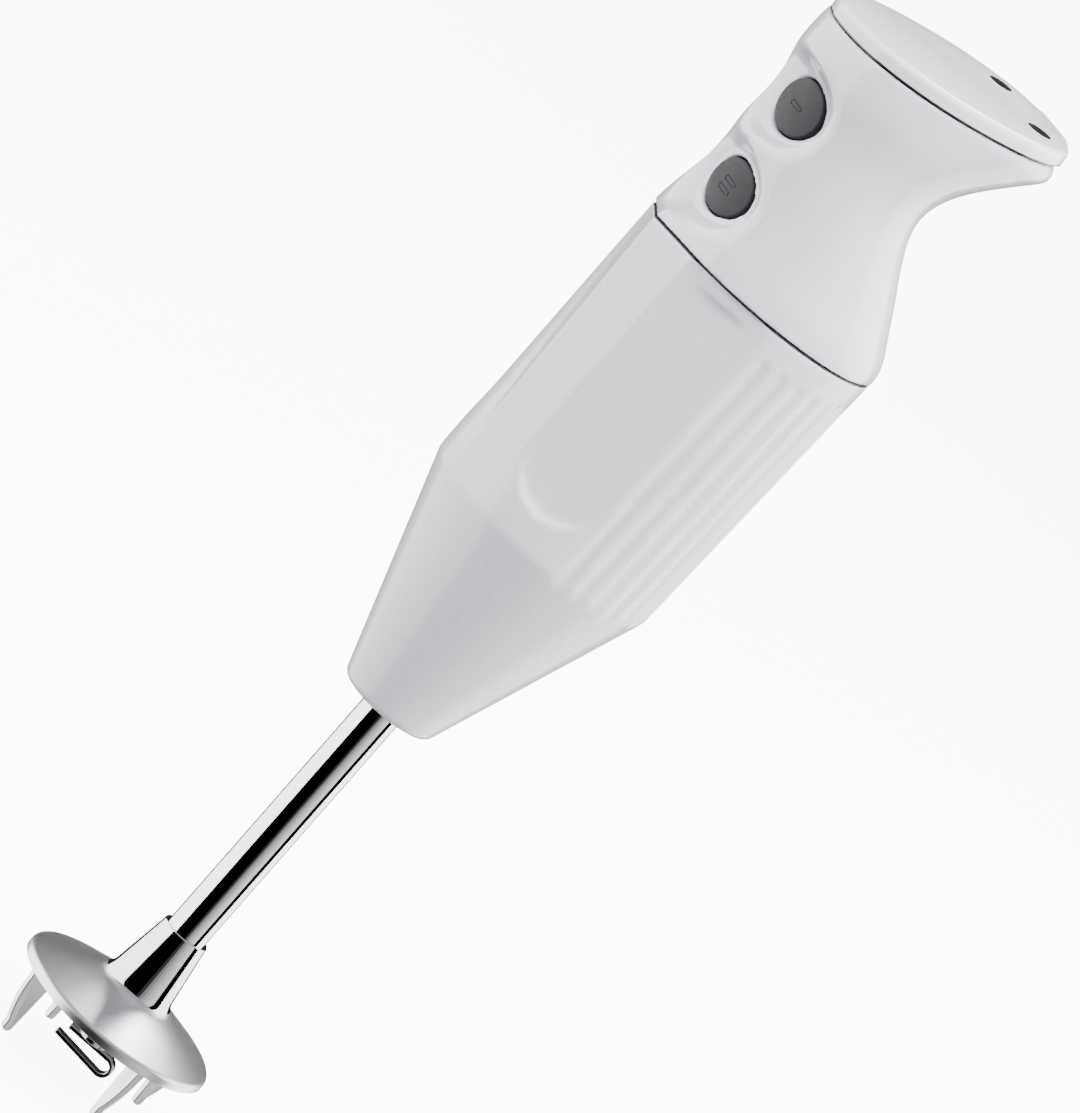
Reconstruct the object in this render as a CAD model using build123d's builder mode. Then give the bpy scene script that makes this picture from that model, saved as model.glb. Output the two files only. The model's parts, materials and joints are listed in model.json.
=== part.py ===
from build123d import *
import os
from math import cos, pi, radians, sin, sqrt

# Corded immersion blender: a hand-held motor housing with a handle and two speed buttons, a chromed
# wand, a bell guard with four feet and a push-on mixing tool.  Millimetres, +Z up along the wand's
# axis, tool end down.  The origin is on that axis, in the plane of the guard's lower rim.
# -Y is the front, where the buttons are, and +Y is the side of the handle's beak.

# ---- guard ----
GUARD_RADIUS = 28.5
GUARD_BAND = 2.2
GUARD_WALL = 1.8
GUARD_CONE_RISE = 7.1
COLLAR_HEIGHT = 19.3
COLLAR_TOP_WALL = 1.1
COLLAR_FOOT_RADIUS = 9.6
COLLAR_BLEND = 3.0
FOOT_LENGTH = 18.0
FOOT_DEPTH = 6.8
FOOT_TIP_DEPTH = 2.8
FOOT_THICKNESS = 2.2
FOOT_COUNT = 4
FOOT_INSET = 1.4
NOSE_RADIUS = 7.0
NOSE_BOTTOM = 4.0

# ---- wand ----
WAND_RADIUS = 5.6
WAND_WALL = 1.0
WAND_EXPOSED = 78.0
WAND_INSIDE = 21.0
DRIVE_SHAFT_RADIUS = 2.5
SPINDLE_RADIUS = 1.7
SEAL_HEIGHT = 3.6
BUSH_LENGTH = 12.0
FLANGE_RADIUS = 13.0
FLANGE_THICKNESS = 3.0
FLANGE_SCREW_CIRCLE = 9.6

# ---- mixing tool ----
TOOL_HUB_RADIUS = 4.2
TOOL_HUB_HEIGHT = 4.6
TOOL_HUB_TOP = -4.4
TOOL_REACH = 8.6
TOOL_LOOP_GAP = 3.6
TOOL_LOOP_RISE = 1.6
TOOL_BAND = 1.2
TOOL_BAND_DEPTH = 3.6
TOOL_AZIMUTH = 56.0
HUB_TEETH = 8
DRIVE_PIN_RADIUS = 0.7
DRIVE_PIN_LENGTH = 6.4

# ---- motor housing ----
HOUSING_WALL = 2.4
MOUTH_RADIUS = 13.4
MOUTH_ROUND = 2.4
CONE_LENGTH = 59.1
BARREL_LENGTH = 81.0
KINK_RADIUS = 33.5
KINK_SHIFT = 1.2
SEAM_RADIUS = 34.8
SEAM_SHIFT = 2.9
SEAM_GAP = 0.3
LIP_HEIGHT = 3.0
LIP_WALL = 1.4
LIP_CLEARANCE = 0.6
KEEL_ANGLE = 24.0
KEEL_START_ANGLE = 4.0
KEEL_SINK = 0.12
PAD_AZIMUTH = 47.0
PAD_WIDTH = 25.6
PAD_DEPTH = 2.7
PAD_FOOT = 9.0
FLUTE_COUNT = 8
FLUTE_FIRST = 76.5
FLUTE_PITCH = 10.2
FLUTE_RADIUS = 3.0
FLUTE_DEPTH = 0.85
FLUTE_END = 9.0

# ---- handle ----
HANDLE_HEIGHT = 67.2
HANDLE_WALL = 2.4
LID_TILT = 6.3
LID_THICKNESS = 4.2
LID_ROUND = 1.6
LID_SEAM = 0.2
LID_SCREW_X = 13.0
LID_SCREW_Y = 24.0
LID_BOSS_DROP = 5.0
LID_BOSS_RADIUS = 4.4
LID_SCREW_LENGTH = 9.0
SECTION_POWER = 0.9
SECTION_POINTS = 12
DISH_WIDTH = 34.0
DISH_DEPTH = 12.0
DISH_HEIGHT = 12.5
DISH_CENTRE_Y = -34.5
BUTTON_RISE = 16.3
BUTTON_PITCH = 25.6
BUTTON_HALF_WIDTH = 10.9
BUTTON_HALF_HEIGHT = 7.25
BUTTON_FACE_Y = -25.4
BUTTON_DOME = 46.0
BUTTON_DEPTH = 6.3
BUTTON_FLANGE = 1.2
BUTTON_FLANGE_THICKNESS = 1.4
BUTTON_TRAVEL = 2.0
BUTTON_GAP = 0.35
MARK_LENGTH = 6.1
MARK_WIDTH = 1.4
MARK_LINE = 0.3
MARK_SPACING = 2.5
PLUNGER_RADIUS = 1.5
SWITCH_WIDTH = 14.0
SWITCH_HEIGHT = 9.0
SWITCH_FRONT_Y = -13.0
SWITCH_DEPTH = 8.0
SWITCH_BORE = 5.4
PLUNGER_LENGTH = 8.6
CARRIER_HALF_WIDTH = 18.8
CARRIER_THICKNESS = 1.6
COMB_HEIGHT = 41.0
BOARD_Y = 2.0
INLET_HEIGHT = 66.4
INLET_BORE_RADIUS = 3.2
INLET_BUSH_RADIUS = 4.1
INLET_BOSS_WALL = 1.3
INLET_FRONT_Y = 26.0
INLET_PROUD = 1.4

# share of the handle's height, half width, front y and back y of each section
HANDLE_STATIONS = (
    (0.000, 34.80, -31.90, 37.70),
    (0.073, 34.20, -31.30, 37.00),
    (0.146, 32.50, -30.60, 34.40),
    (0.219, 30.60, -30.00, 31.40),
    (0.292, 29.00, -29.80, 28.40),
    (0.363, 27.50, -30.00, 25.20),
    (0.437, 26.20, -30.60, 22.20),
    (0.512, 25.20, -31.10, 19.70),
    (0.583, 24.90, -31.30, 18.60),
    (0.656, 25.20, -31.40, 19.20),
    (0.731, 26.30, -31.50, 21.40),
    (0.804, 27.80, -31.60, 25.00),
    (0.877, 28.70, -31.40, 30.00),
    (0.950, 29.00, -31.10, 36.00),
    (1.000, 29.00, -31.00, 38.00),
    (1.180, 28.80, -30.80, 38.20),
)

# ---- motor ----
MOTOR_SHAFT_RADIUS = 3.0
STACK_HEIGHT = 28.0
STACK_BOTTOM_RISE = 17.0
CORE_CLEARANCE = 2.111
CORE_BORE = 14.6
COIL_INSET = 6.1
COIL_OVERHANG = 6.0
COIL_ANGLE = 38.0
AIR_GAP = 0.45
ROTOR_SLOTS = 12
WINDING_OVERHANG = 7.0
COMMUTATOR_RADIUS = 9.0
COMMUTATOR_LENGTH = 11.0
COMMUTATOR_BARS = 24
BEARING_RADIUS = 8.5
BEARING_WIDTH = 5.0
BRIDGE_THICKNESS = 3.0
BRIDGE_HALF_WIDTH = 8.0
BEARING_WALL = 2.0
POST_RADIUS = 2.8
RIB_THICKNESS = 2.4
LEDGE = 1.8
LEDGE_HEIGHT = 3.0
MOTOR_SCREW_INSET = 3.1
BRUSH_WIDTH = 5.0
BRUSH_HEIGHT = 6.5
BRUSH_LENGTH = 9.0
COUPLING_RADIUS = 6.0
COUPLING_LENGTH = 16.0

# ---- fasteners and fits ----
SCREW_RADIUS = 1.5
SCREW_HEAD_RADIUS = 2.6
SCREW_HEAD = 1.9
HOUSING_SCREW_X = 28.2
HOUSING_SCREW_Y = 8.0
HOUSING_BOSS_RADIUS = 4.4
HOUSING_BOSS_HEIGHT = 4.9
HOUSING_BOSS_DEPTH = 16.0
RUNNING = 0.05
CLEAR = 0.3
PLAY = 0.1

# ---- radii that follow from the sizes above ----
COLLAR_TOP_RADIUS = WAND_RADIUS + COLLAR_TOP_WALL
core_room = []
for rise in (STACK_BOTTOM_RISE, STACK_BOTTOM_RISE + STACK_HEIGHT):
    share = rise / BARREL_LENGTH
    barrel_radius = KINK_RADIUS + (SEAM_RADIUS - KINK_RADIUS) * share
    barrel_shift = KINK_SHIFT + (SEAM_SHIFT - KINK_SHIFT) * share
    core_room.append(
        barrel_radius - PAD_DEPTH - HOUSING_WALL - barrel_shift * cos(radians(PAD_AZIMUTH)))
CORE_RADIUS = min(core_room) - CORE_CLEARANCE
COIL_RADIUS = CORE_RADIUS - COIL_INSET
MOTOR_SCREW_Y = CORE_RADIUS - MOTOR_SCREW_INSET

# ---- heights that follow from the sizes above ----
COLLAR_FOOT_Z = GUARD_BAND + GUARD_CONE_RISE
COLLAR_TOP_Z = COLLAR_FOOT_Z + COLLAR_HEIGHT
MOUTH_Z = COLLAR_TOP_Z + WAND_EXPOSED
KINK_Z = MOUTH_Z + CONE_LENGTH
SEAM_Z = KINK_Z + BARREL_LENGTH
LID_Z = SEAM_Z + HANDLE_HEIGHT
SEAL_Z = NOSE_BOTTOM + 1.2
WAND_BOTTOM = SEAL_Z + SEAL_HEIGHT
WAND_TOP = MOUTH_Z + WAND_INSIDE
BORE_RADIUS = WAND_RADIUS - WAND_WALL
STACK_Z = KINK_Z + STACK_BOTTOM_RISE
STACK_TOP = STACK_Z + STACK_HEIGHT
LOWER_BRIDGE_Z = STACK_Z - COIL_OVERHANG - 2.0 - BRIDGE_THICKNESS
COMMUTATOR_Z = STACK_TOP + WINDING_OVERHANG + 2.0
UPPER_BRIDGE_Z = COMMUTATOR_Z + COMMUTATOR_LENGTH + 2.0
BUTTON_HEIGHTS = {"low": SEAM_Z + BUTTON_RISE, "high": SEAM_Z + BUTTON_RISE + BUTTON_PITCH}

os.makedirs("parts", exist_ok=True)


def save(builder, node):
    """Label a finished piece and write it to its own STEP file."""
    builder.part.label = node
    export_step(builder.part, f"parts/{node}.step")


def polar(radius, angle, shift=0.0):
    """Point at an angle measured from the front (-Y) towards +X, around (0, shift)."""
    return (radius * sin(radians(angle)), shift - radius * cos(radians(angle)))


def winding_slots(inner, outer, half_angle):
    """The two annular slots between the field poles, facing +Y and -Y."""
    reach = 2 * outer
    corner = (reach * sin(half_angle), reach * cos(half_angle))
    wedge = [(0, 0), corner, (-corner[0], corner[1])]
    with BuildSketch() as slots:
        Polygon(*wedge, align=None)
        Polygon(*[(x, -y) for x, y in wedge], align=None)
        with BuildSketch(mode=Mode.INTERSECT):
            Circle(outer)
            Circle(inner, mode=Mode.SUBTRACT)
    return slots.sketch


def ring(radius, bore, bottom, height, edge=0.0):
    """Plain sleeve about the Z axis, with an optional edge break."""
    with BuildPart() as sleeve:
        with BuildSketch(Plane.XY.offset(bottom)):
            Circle(radius)
            Circle(bore, mode=Mode.SUBTRACT)
        extrude(amount=height)
        if edge > 0:
            chamfer(sleeve.edges().filter_by(GeomType.CIRCLE), edge)
    return sleeve


def screws(spots, length):
    """Identical pan-head screws, heads up, at (x, y, z under the head)."""
    with BuildPart() as group:
        for x, y, z in spots:
            with BuildSketch(Plane.XY.offset(z)):
                with Locations((x, y)):
                    Circle(SCREW_HEAD_RADIUS)
            extrude(amount=SCREW_HEAD)
            with BuildSketch(Plane.XY.offset(z)):
                with Locations((x, y)):
                    Circle(SCREW_RADIUS)
            extrude(amount=-length)
        fillet(group.faces().group_by(Axis.Z)[-1].edges(), SCREW_HEAD * 0.4)
        for x, y, z in spots:
            with BuildSketch(Plane.XY.offset(z + SCREW_HEAD)):
                with Locations((x, y)):
                    Rectangle(SCREW_HEAD_RADIUS * 1.1, 0.7)
                    Rectangle(0.7, SCREW_HEAD_RADIUS * 1.1)
            extrude(amount=-1.0, mode=Mode.SUBTRACT)
    return group


# ================================ guard ================================
cone_slope = GUARD_CONE_RISE / (GUARD_RADIUS - COLLAR_FOOT_RADIUS)
wall_drop = GUARD_WALL * sqrt(1 + cone_slope ** 2)


def cone_height(radius, drop=0.0):
    """Height of the bell's cone at a radius, lowered by drop for its inner face."""
    return GUARD_BAND + (GUARD_RADIUS - radius) * cone_slope - drop


rim_inner = GUARD_RADIUS - GUARD_WALL
with BuildPart() as blade_guard:
    with BuildSketch(Plane.XZ) as bell_section:
        with BuildLine():
            Polyline(
                (WAND_RADIUS, COLLAR_TOP_Z),
                (COLLAR_TOP_RADIUS, COLLAR_TOP_Z),
                (COLLAR_FOOT_RADIUS, COLLAR_FOOT_Z),
                (GUARD_RADIUS, GUARD_BAND),
                (GUARD_RADIUS, 0),
                (rim_inner, 0),
                (rim_inner, cone_height(rim_inner, wall_drop)),
                (NOSE_RADIUS, cone_height(NOSE_RADIUS, wall_drop)),
                (NOSE_RADIUS, NOSE_BOTTOM),
                (DRIVE_SHAFT_RADIUS + CLEAR, NOSE_BOTTOM),
                (DRIVE_SHAFT_RADIUS + CLEAR, SEAL_Z),
                (BORE_RADIUS, SEAL_Z),
                (BORE_RADIUS, WAND_BOTTOM),
                (WAND_RADIUS, WAND_BOTTOM),
                close=True,
            )
        make_face()
        outer = bell_section.vertices().filter_by(lambda v: v.X > GUARD_RADIUS - 0.01)
        fillet(outer.sort_by(Axis.Z)[-1], 0.9)
        fillet(bell_section.vertices().filter_by(
            lambda v: abs(v.X - COLLAR_FOOT_RADIUS) < 0.01), COLLAR_BLEND)
        fillet(bell_section.vertices().filter_by(
            lambda v: abs(v.X - COLLAR_TOP_RADIUS) < 0.01), 0.5)
        fillet(bell_section.vertices().filter_by(
            lambda v: abs(v.X - NOSE_RADIUS) < 0.01), 0.8)
    revolve(axis=Axis.Z)

foot_outer = GUARD_RADIUS - FOOT_INSET
foot_inner = foot_outer - FOOT_DEPTH
bury = wall_drop / 2
with BuildPart() as one_foot:
    with BuildSketch(Plane.XZ) as fin:
        with BuildLine():
            top_inner = (foot_inner, cone_height(foot_inner, bury))
            top_outer = (foot_outer, cone_height(foot_outer, bury))
            tip_inner = (foot_inner + 0.6, -FOOT_LENGTH)
            tip_outer = (foot_inner + 0.6 + FOOT_TIP_DEPTH, -FOOT_LENGTH)
            Polyline(tip_outer, tip_inner, (foot_inner, -1.0), top_inner, top_outer, (foot_outer, 0))
            ThreePointArc((foot_outer, 0), (foot_outer - 1.4, -FOOT_LENGTH * 0.6), tip_outer)
        make_face()
        fillet(fin.vertices().group_by(Axis.Z)[0], FOOT_TIP_DEPTH * 0.42)
    extrude(amount=FOOT_THICKNESS / 2, both=True)
    fillet(one_foot.faces().filter_by(Axis.Y).edges().filter_by(
        lambda e: e.center().Z < -1.2), FOOT_THICKNESS * 0.2)
with BuildPart() as guard_piece:
    add(blade_guard.part)
    with PolarLocations(0, FOOT_COUNT):
        add(one_foot.part)
save(guard_piece, "blade_guard")

# ================================ wand ================================
with BuildPart() as wand_tube:
    with BuildSketch(Plane.XY.offset(WAND_BOTTOM)):
        Circle(WAND_RADIUS)
        Circle(BORE_RADIUS, mode=Mode.SUBTRACT)
    extrude(amount=WAND_TOP - WAND_BOTTOM)
save(wand_tube, "wand_tube")

save(ring(BORE_RADIUS, DRIVE_SHAFT_RADIUS + RUNNING, WAND_BOTTOM, BUSH_LENGTH, 0.3), "lower_shaft_bush")
save(
    ring(BORE_RADIUS, DRIVE_SHAFT_RADIUS + RUNNING, WAND_TOP - BUSH_LENGTH, BUSH_LENGTH, 0.3),
    "upper_shaft_bush",
)

with BuildPart() as shaft_seal:
    with BuildSketch(Plane.XZ):
        with BuildLine():
            lip = DRIVE_SHAFT_RADIUS + RUNNING
            Polyline(
                (BORE_RADIUS, SEAL_Z),
                (BORE_RADIUS, WAND_BOTTOM),
                (lip, WAND_BOTTOM),
                (lip, WAND_BOTTOM - 1.0),
                (lip + 0.9, SEAL_Z + 0.8),
                (lip, SEAL_Z),
                close=True,
            )
        make_face()
    revolve(axis=Axis.Z)
save(shaft_seal, "shaft_seal")

boss_radius = WAND_RADIUS + HOUSING_WALL + 1.0
with BuildPart() as wand_flange:
    with BuildSketch(Plane.XY.offset(WAND_TOP - FLANGE_THICKNESS)):
        Circle(FLANGE_RADIUS)
        Circle(WAND_RADIUS, mode=Mode.SUBTRACT)
    extrude(amount=FLANGE_THICKNESS)
    with Locations((0, 0, WAND_TOP)):
        with PolarLocations(FLANGE_SCREW_CIRCLE, 3, start_angle=90):
            Hole(SCREW_RADIUS + PLAY)
    chamfer(wand_flange.faces().sort_by(Axis.Z)[-1].edges(), 0.3)
save(wand_flange, "wand_flange")

flange_spots = []
for turn in range(3):
    spot = Vector(FLANGE_SCREW_CIRCLE, 0).rotate(Axis.Z, 90 + 120 * turn)
    flange_spots.append((spot.X, spot.Y, WAND_TOP))
save(screws(flange_spots, FLANGE_THICKNESS + 6.0), "wand_flange_screws")

# ================================ drive line ================================
coupling_bottom = LOWER_BRIDGE_Z - 3.0 - COUPLING_LENGTH
coupling_mid = coupling_bottom + COUPLING_LENGTH / 2
hub_bottom = TOOL_HUB_TOP - TOOL_HUB_HEIGHT
spindle_end = hub_bottom + 1.0
pin_height = TOOL_HUB_TOP - DRIVE_PIN_RADIUS - 0.4

with BuildPart() as drive_shaft:
    with BuildSketch(Plane.XY.offset(NOSE_BOTTOM - 2.0)):
        Circle(DRIVE_SHAFT_RADIUS)
    extrude(amount=coupling_mid - NOSE_BOTTOM + 2.0)
    with BuildSketch(Plane.XY.offset(spindle_end)):
        Circle(SPINDLE_RADIUS)
    extrude(amount=NOSE_BOTTOM - 2.0 - spindle_end)
    chamfer(drive_shaft.faces().sort_by(Axis.Z)[0].edges(), 0.3)
    with Locations(Plane((0, 0, pin_height), z_dir=Vector(1, 0, 0))):
        Cylinder(DRIVE_PIN_RADIUS, 4 * SPINDLE_RADIUS, mode=Mode.SUBTRACT)
save(drive_shaft, "drive_shaft")

with BuildPart() as drive_pin:
    with Locations(Plane((0, 0, pin_height), z_dir=Vector(1, 0, 0))):
        Cylinder(DRIVE_PIN_RADIUS, DRIVE_PIN_LENGTH)
    fillet(drive_pin.edges().filter_by(GeomType.CIRCLE), 0.25)
save(drive_pin, "drive_pin")

with BuildPart() as drive_coupling:
    with BuildSketch(Plane.XY.offset(coupling_bottom)):
        Circle(COUPLING_RADIUS)
    extrude(amount=COUPLING_LENGTH)
    with Locations((0, 0, coupling_bottom)):
        Cylinder(DRIVE_SHAFT_RADIUS, COUPLING_LENGTH, mode=Mode.SUBTRACT)
    with BuildSketch(Plane.XY.offset(coupling_mid)):
        Circle(MOTOR_SHAFT_RADIUS)
    extrude(amount=COUPLING_LENGTH, mode=Mode.SUBTRACT)
    fillet(drive_coupling.edges().filter_by(
        lambda e: e.geom_type == GeomType.CIRCLE and e.radius > COUPLING_RADIUS - 0.1), 0.6)
save(drive_coupling, "drive_coupling")

# ================================ mixing tool ================================
with BuildPart() as tool_hub:
    with BuildSketch(Plane.XY.offset(hub_bottom)):
        Circle(TOOL_HUB_RADIUS)
    extrude(amount=TOOL_HUB_HEIGHT)
    fillet(tool_hub.faces().sort_by(Axis.Z)[0].edges(), 0.5)
    with BuildSketch(Plane.XY.offset(hub_bottom + 1.0)):
        Circle(SPINDLE_RADIUS + RUNNING)
    extrude(amount=TOOL_HUB_HEIGHT, mode=Mode.SUBTRACT)
    with BuildSketch(Plane.XY.offset(TOOL_HUB_TOP)):
        Rectangle(2.5 * TOOL_HUB_RADIUS, 2 * (DRIVE_PIN_RADIUS + RUNNING))
    extrude(amount=-2.0 * DRIVE_PIN_RADIUS - 0.6, mode=Mode.SUBTRACT)
    with BuildSketch(Plane.XY.offset(hub_bottom + TOOL_HUB_HEIGHT * 0.30)):
        with PolarLocations(TOOL_HUB_RADIUS, HUB_TEETH, start_angle=180 / HUB_TEETH):
            Rectangle(0.9, 1.3)
    extrude(amount=TOOL_HUB_HEIGHT * 0.34, mode=Mode.SUBTRACT)
save(tool_hub, "tool_hub")

tool_plane = Plane(
    origin=(0, 0, hub_bottom - TOOL_BAND / 2),
    x_dir=Vector(1, 0, 0).rotate(Axis.Z, TOOL_AZIMUTH),
    z_dir=Vector(0, -1, 0).rotate(Axis.Z, TOOL_AZIMUTH),
)
bend = TOOL_LOOP_GAP / 2 + TOOL_BAND / 2
with BuildPart() as tool_loop:
    with BuildSketch(tool_plane):
        with BuildLine():
            upper_bar = Line((-TOOL_REACH * 0.78, 0.0), (TOOL_REACH - bend, 0.0))
            curl = TangentArc(upper_bar @ 1, (TOOL_REACH - bend, -2 * bend), tangent=(1, 0))
            lower_bar = Line(curl @ 1, (-TOOL_REACH, -2 * bend + TOOL_LOOP_RISE))
        trace(line_width=TOOL_BAND)
    extrude(amount=TOOL_BAND_DEPTH / 2, both=True)
    fillet(tool_loop.edges().filter_by(
        lambda e: abs((e.center() - tool_plane.origin).dot(tool_plane.z_dir)) > TOOL_BAND_DEPTH * 0.49), 0.3)
save(tool_loop, "tool_loop")

# ================================ motor housing ================================


def keel(radius, shift, angle):
    """Corner points of the front keel, whose two flats just dip into the barrel's circle."""
    radius = radius - KEEL_SINK
    side = polar(radius, angle, shift)
    ridge = polar(radius / cos(radians(angle)), 0, shift)
    return [(0, shift - radius / 2), side, ridge, (-side[0], side[1])]


def barrel(inset):
    """Outer form of the motor housing, drawn in by inset: cone, barrel and front keel."""
    lead = MOUTH_ROUND * 0.8
    neck = MOUTH_RADIUS + lead * (KINK_RADIUS - MOUTH_RADIUS) / CONE_LENGTH
    with BuildPart() as body:
        with BuildSketch(Plane.XY.offset(MOUTH_Z + lead)):
            Circle(neck - inset)
        with BuildSketch(Plane.XY.offset(KINK_Z)):
            with Locations((0, KINK_SHIFT)):
                Circle(KINK_RADIUS - inset)
        with BuildSketch(Plane.XY.offset(SEAM_Z)):
            with Locations((0, SEAM_SHIFT)):
                Circle(SEAM_RADIUS - inset)
        loft(ruled=True)
        if inset == 0:
            with BuildSketch(Plane.XZ):
                with BuildLine():
                    Polyline((0, MOUTH_Z), (neck - lead * 1.15, MOUTH_Z))
                    ThreePointArc(
                        (neck - lead * 1.15, MOUTH_Z),
                        (neck - lead * 0.36, MOUTH_Z + lead * 0.26),
                        (neck, MOUTH_Z + lead),
                    )
                    Polyline((neck, MOUTH_Z + lead), (0, MOUTH_Z + lead), (0, MOUTH_Z))
                make_face()
            revolve(axis=Axis.Z)
            with BuildSketch(Plane.XY.offset(KINK_Z)):
                Polygon(*keel(KINK_RADIUS, KINK_SHIFT, KEEL_START_ANGLE), align=None)
            with BuildSketch(Plane.XY.offset(SEAM_Z)):
                Polygon(*keel(SEAM_RADIUS, SEAM_SHIFT, KEEL_ANGLE), align=None)
            loft()
    return body


pad_planes = []
for side in (-1, 1):
    azimuth = side * PAD_AZIMUTH
    outward = Vector(sin(radians(azimuth)), -cos(radians(azimuth)), 0)
    pad_planes.append(
        Plane(
            origin=Vector(0, SEAM_SHIFT, SEAM_Z) + outward * (SEAM_RADIUS - PAD_DEPTH),
            x_dir=Vector(0, 0, 1).cross(outward),
            z_dir=outward,
        )
    )


def flattened(inset):
    """Barrel drawn in by inset, with the same inset kept under the two flat pads."""
    with BuildPart() as body:
        add(barrel(inset).part)
        for plane in pad_planes:
            with BuildSketch(plane.offset(-inset)):
                Rectangle(2 * SEAM_RADIUS, 4 * BARREL_LENGTH)
            extrude(amount=SEAM_RADIUS, mode=Mode.SUBTRACT)
    return body


cavity = flattened(HOUSING_WALL)
wall_middle = flattened(HOUSING_WALL / 2)
rib_radius = CORE_RADIUS + PLAY
lip_outer = SEAM_RADIUS - HOUSING_WALL - LIP_CLEARANCE
housing_screw_spots = []
for side in (-1, 1):
    housing_screw_spots.append((side * HOUSING_SCREW_X, HOUSING_SCREW_Y, SEAM_Z + HOUSING_BOSS_HEIGHT + 0.1))
with BuildPart() as motor_housing:
    add(barrel(0.0).part)
    for plane in pad_planes:
        half = PAD_WIDTH / 2
        foot = KINK_Z + PAD_FOOT - SEAM_Z
        with BuildSketch(plane):
            with BuildLine():
                Polyline((half, foot + half), (half, 1), (-half, 1), (-half, foot + half))
                ThreePointArc((half, foot + half), (0, foot), (-half, foot + half))
            make_face()
        extrude(amount=3 * PAD_DEPTH, mode=Mode.SUBTRACT)
    for side in (-1, 1):
        for index in range(FLUTE_COUNT):
            azimuth = side * (FLUTE_FIRST + FLUTE_PITCH * index)
            reach = FLUTE_RADIUS - FLUTE_DEPTH
            low = Vector(*polar(KINK_RADIUS + reach, azimuth, KINK_SHIFT), KINK_Z)
            high = Vector(*polar(SEAM_RADIUS + reach, azimuth, SEAM_SHIFT), SEAM_Z)
            run = (high - low).normalized()
            begin = low - run * 4.0
            length = (high - low).length - FLUTE_END + 4.0
            with BuildSketch(Plane(origin=begin, z_dir=run)):
                Circle(FLUTE_RADIUS)
            extrude(amount=length, mode=Mode.SUBTRACT)
            with Locations(begin + run * length):
                Sphere(FLUTE_RADIUS, mode=Mode.SUBTRACT)
    add(cavity.part, mode=Mode.SUBTRACT)
    with BuildPart(mode=Mode.PRIVATE) as inside:
        with BuildSketch(Plane.XY.offset(MOUTH_Z + 1.0)):
            Circle(boss_radius)
            with PolarLocations(FLANGE_SCREW_CIRCLE, 3, start_angle=90):
                Circle(SCREW_RADIUS + 1.6)
        extrude(amount=WAND_TOP - FLANGE_THICKNESS - MOUTH_Z - 1.0)
        with BuildSketch(Plane.XY.offset(STACK_Z)):
            with PolarLocations(rib_radius + 5.0, 6):
                Rectangle(10.0, RIB_THICKNESS)
        extrude(amount=STACK_HEIGHT)
        with BuildSketch(Plane.XY.offset(STACK_Z - LEDGE_HEIGHT)):
            with PolarLocations(rib_radius + 5.0 - LEDGE / 2, 6):
                Rectangle(10.0 + LEDGE, RIB_THICKNESS)
        extrude(amount=LEDGE_HEIGHT)
        with BuildSketch(Plane.XY.offset(SEAM_Z)):
            with Locations(*[(x, y) for x, y, z in housing_screw_spots]):
                Circle(HOUSING_BOSS_RADIUS)
        extrude(amount=-HOUSING_BOSS_DEPTH)
        add(wall_middle.part, mode=Mode.INTERSECT)
    add(inside.part)
    with BuildSketch(Plane.XY.offset(SEAM_Z - 4.0)):
        with Locations((0, SEAM_SHIFT)):
            Circle(SEAM_RADIUS - HOUSING_WALL * 0.6)
            Circle(lip_outer - LIP_WALL, mode=Mode.SUBTRACT)
    extrude(amount=4.0)
    with BuildSketch(Plane.XY.offset(SEAM_Z)):
        with Locations((0, SEAM_SHIFT)):
            Circle(lip_outer)
            Circle(lip_outer - LIP_WALL, mode=Mode.SUBTRACT)
    extrude(amount=LIP_HEIGHT)
    with Locations((0, 0, MOUTH_Z)):
        Cylinder(WAND_RADIUS, 4 * WAND_INSIDE, mode=Mode.SUBTRACT)
    for x, y, z in flange_spots:
        with Locations((x, y, z - FLANGE_THICKNESS)):
            Cylinder(SCREW_RADIUS, 14.0, mode=Mode.SUBTRACT)
    for x, y, z in housing_screw_spots:
        with BuildSketch(Plane.XY.offset(SEAM_Z)):
            with Locations((x, y)):
                Circle(HOUSING_BOSS_RADIUS + LIP_CLEARANCE)
        extrude(amount=LIP_HEIGHT + 1, mode=Mode.SUBTRACT)
        with Locations((x, y, SEAM_Z)):
            Cylinder(SCREW_RADIUS, 2 * (HOUSING_BOSS_DEPTH - 4.0), mode=Mode.SUBTRACT)
save(motor_housing, "motor_housing")


# ================================ handle ================================
lid_plane = Plane(origin=(0, 0, LID_Z), x_dir=(1, 0, 0), z_dir=Vector(0, 0, 1).rotate(Axis.X, LID_TILT))


def section(half_width, front, back, inset, share):
    """Right half of the handle's outline: an ellipse at the seam, blunter at the beak higher up."""
    power = 1.0 - (1.0 - SECTION_POWER) * min(1.0, max(0.0, (share - 0.6) / 0.3))
    centre = (front + back) / 2
    reach = (back - front) / 2 - inset
    points = [(0, centre - reach)]
    for index in range(1, SECTION_POINTS):
        turn = pi * index / SECTION_POINTS
        along = abs(cos(turn)) ** power * (1 if cos(turn) > 0 else -1)
        points.append(((half_width - inset) * sin(turn) ** power, centre - reach * along))
    points.append((0, centre + reach))
    return points


def handle_form(inset):
    """Outer form of the handle and lid together, drawn in by inset and then open below the seam."""
    with BuildPart() as form:
        for share, half_width, front, back in HANDLE_STATIONS:
            drop = 1.0 if inset > 0 and share == 0 else 0.0
            with BuildSketch(Plane.XY.offset(SEAM_Z + share * HANDLE_HEIGHT - drop)):
                with BuildLine():
                    right = Spline(*section(half_width, front, back, inset, share), tangents=((1, 0), (-1, 0)))
                    mirror(right, about=Plane.YZ)
                make_face()
        loft()
    return form


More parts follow.
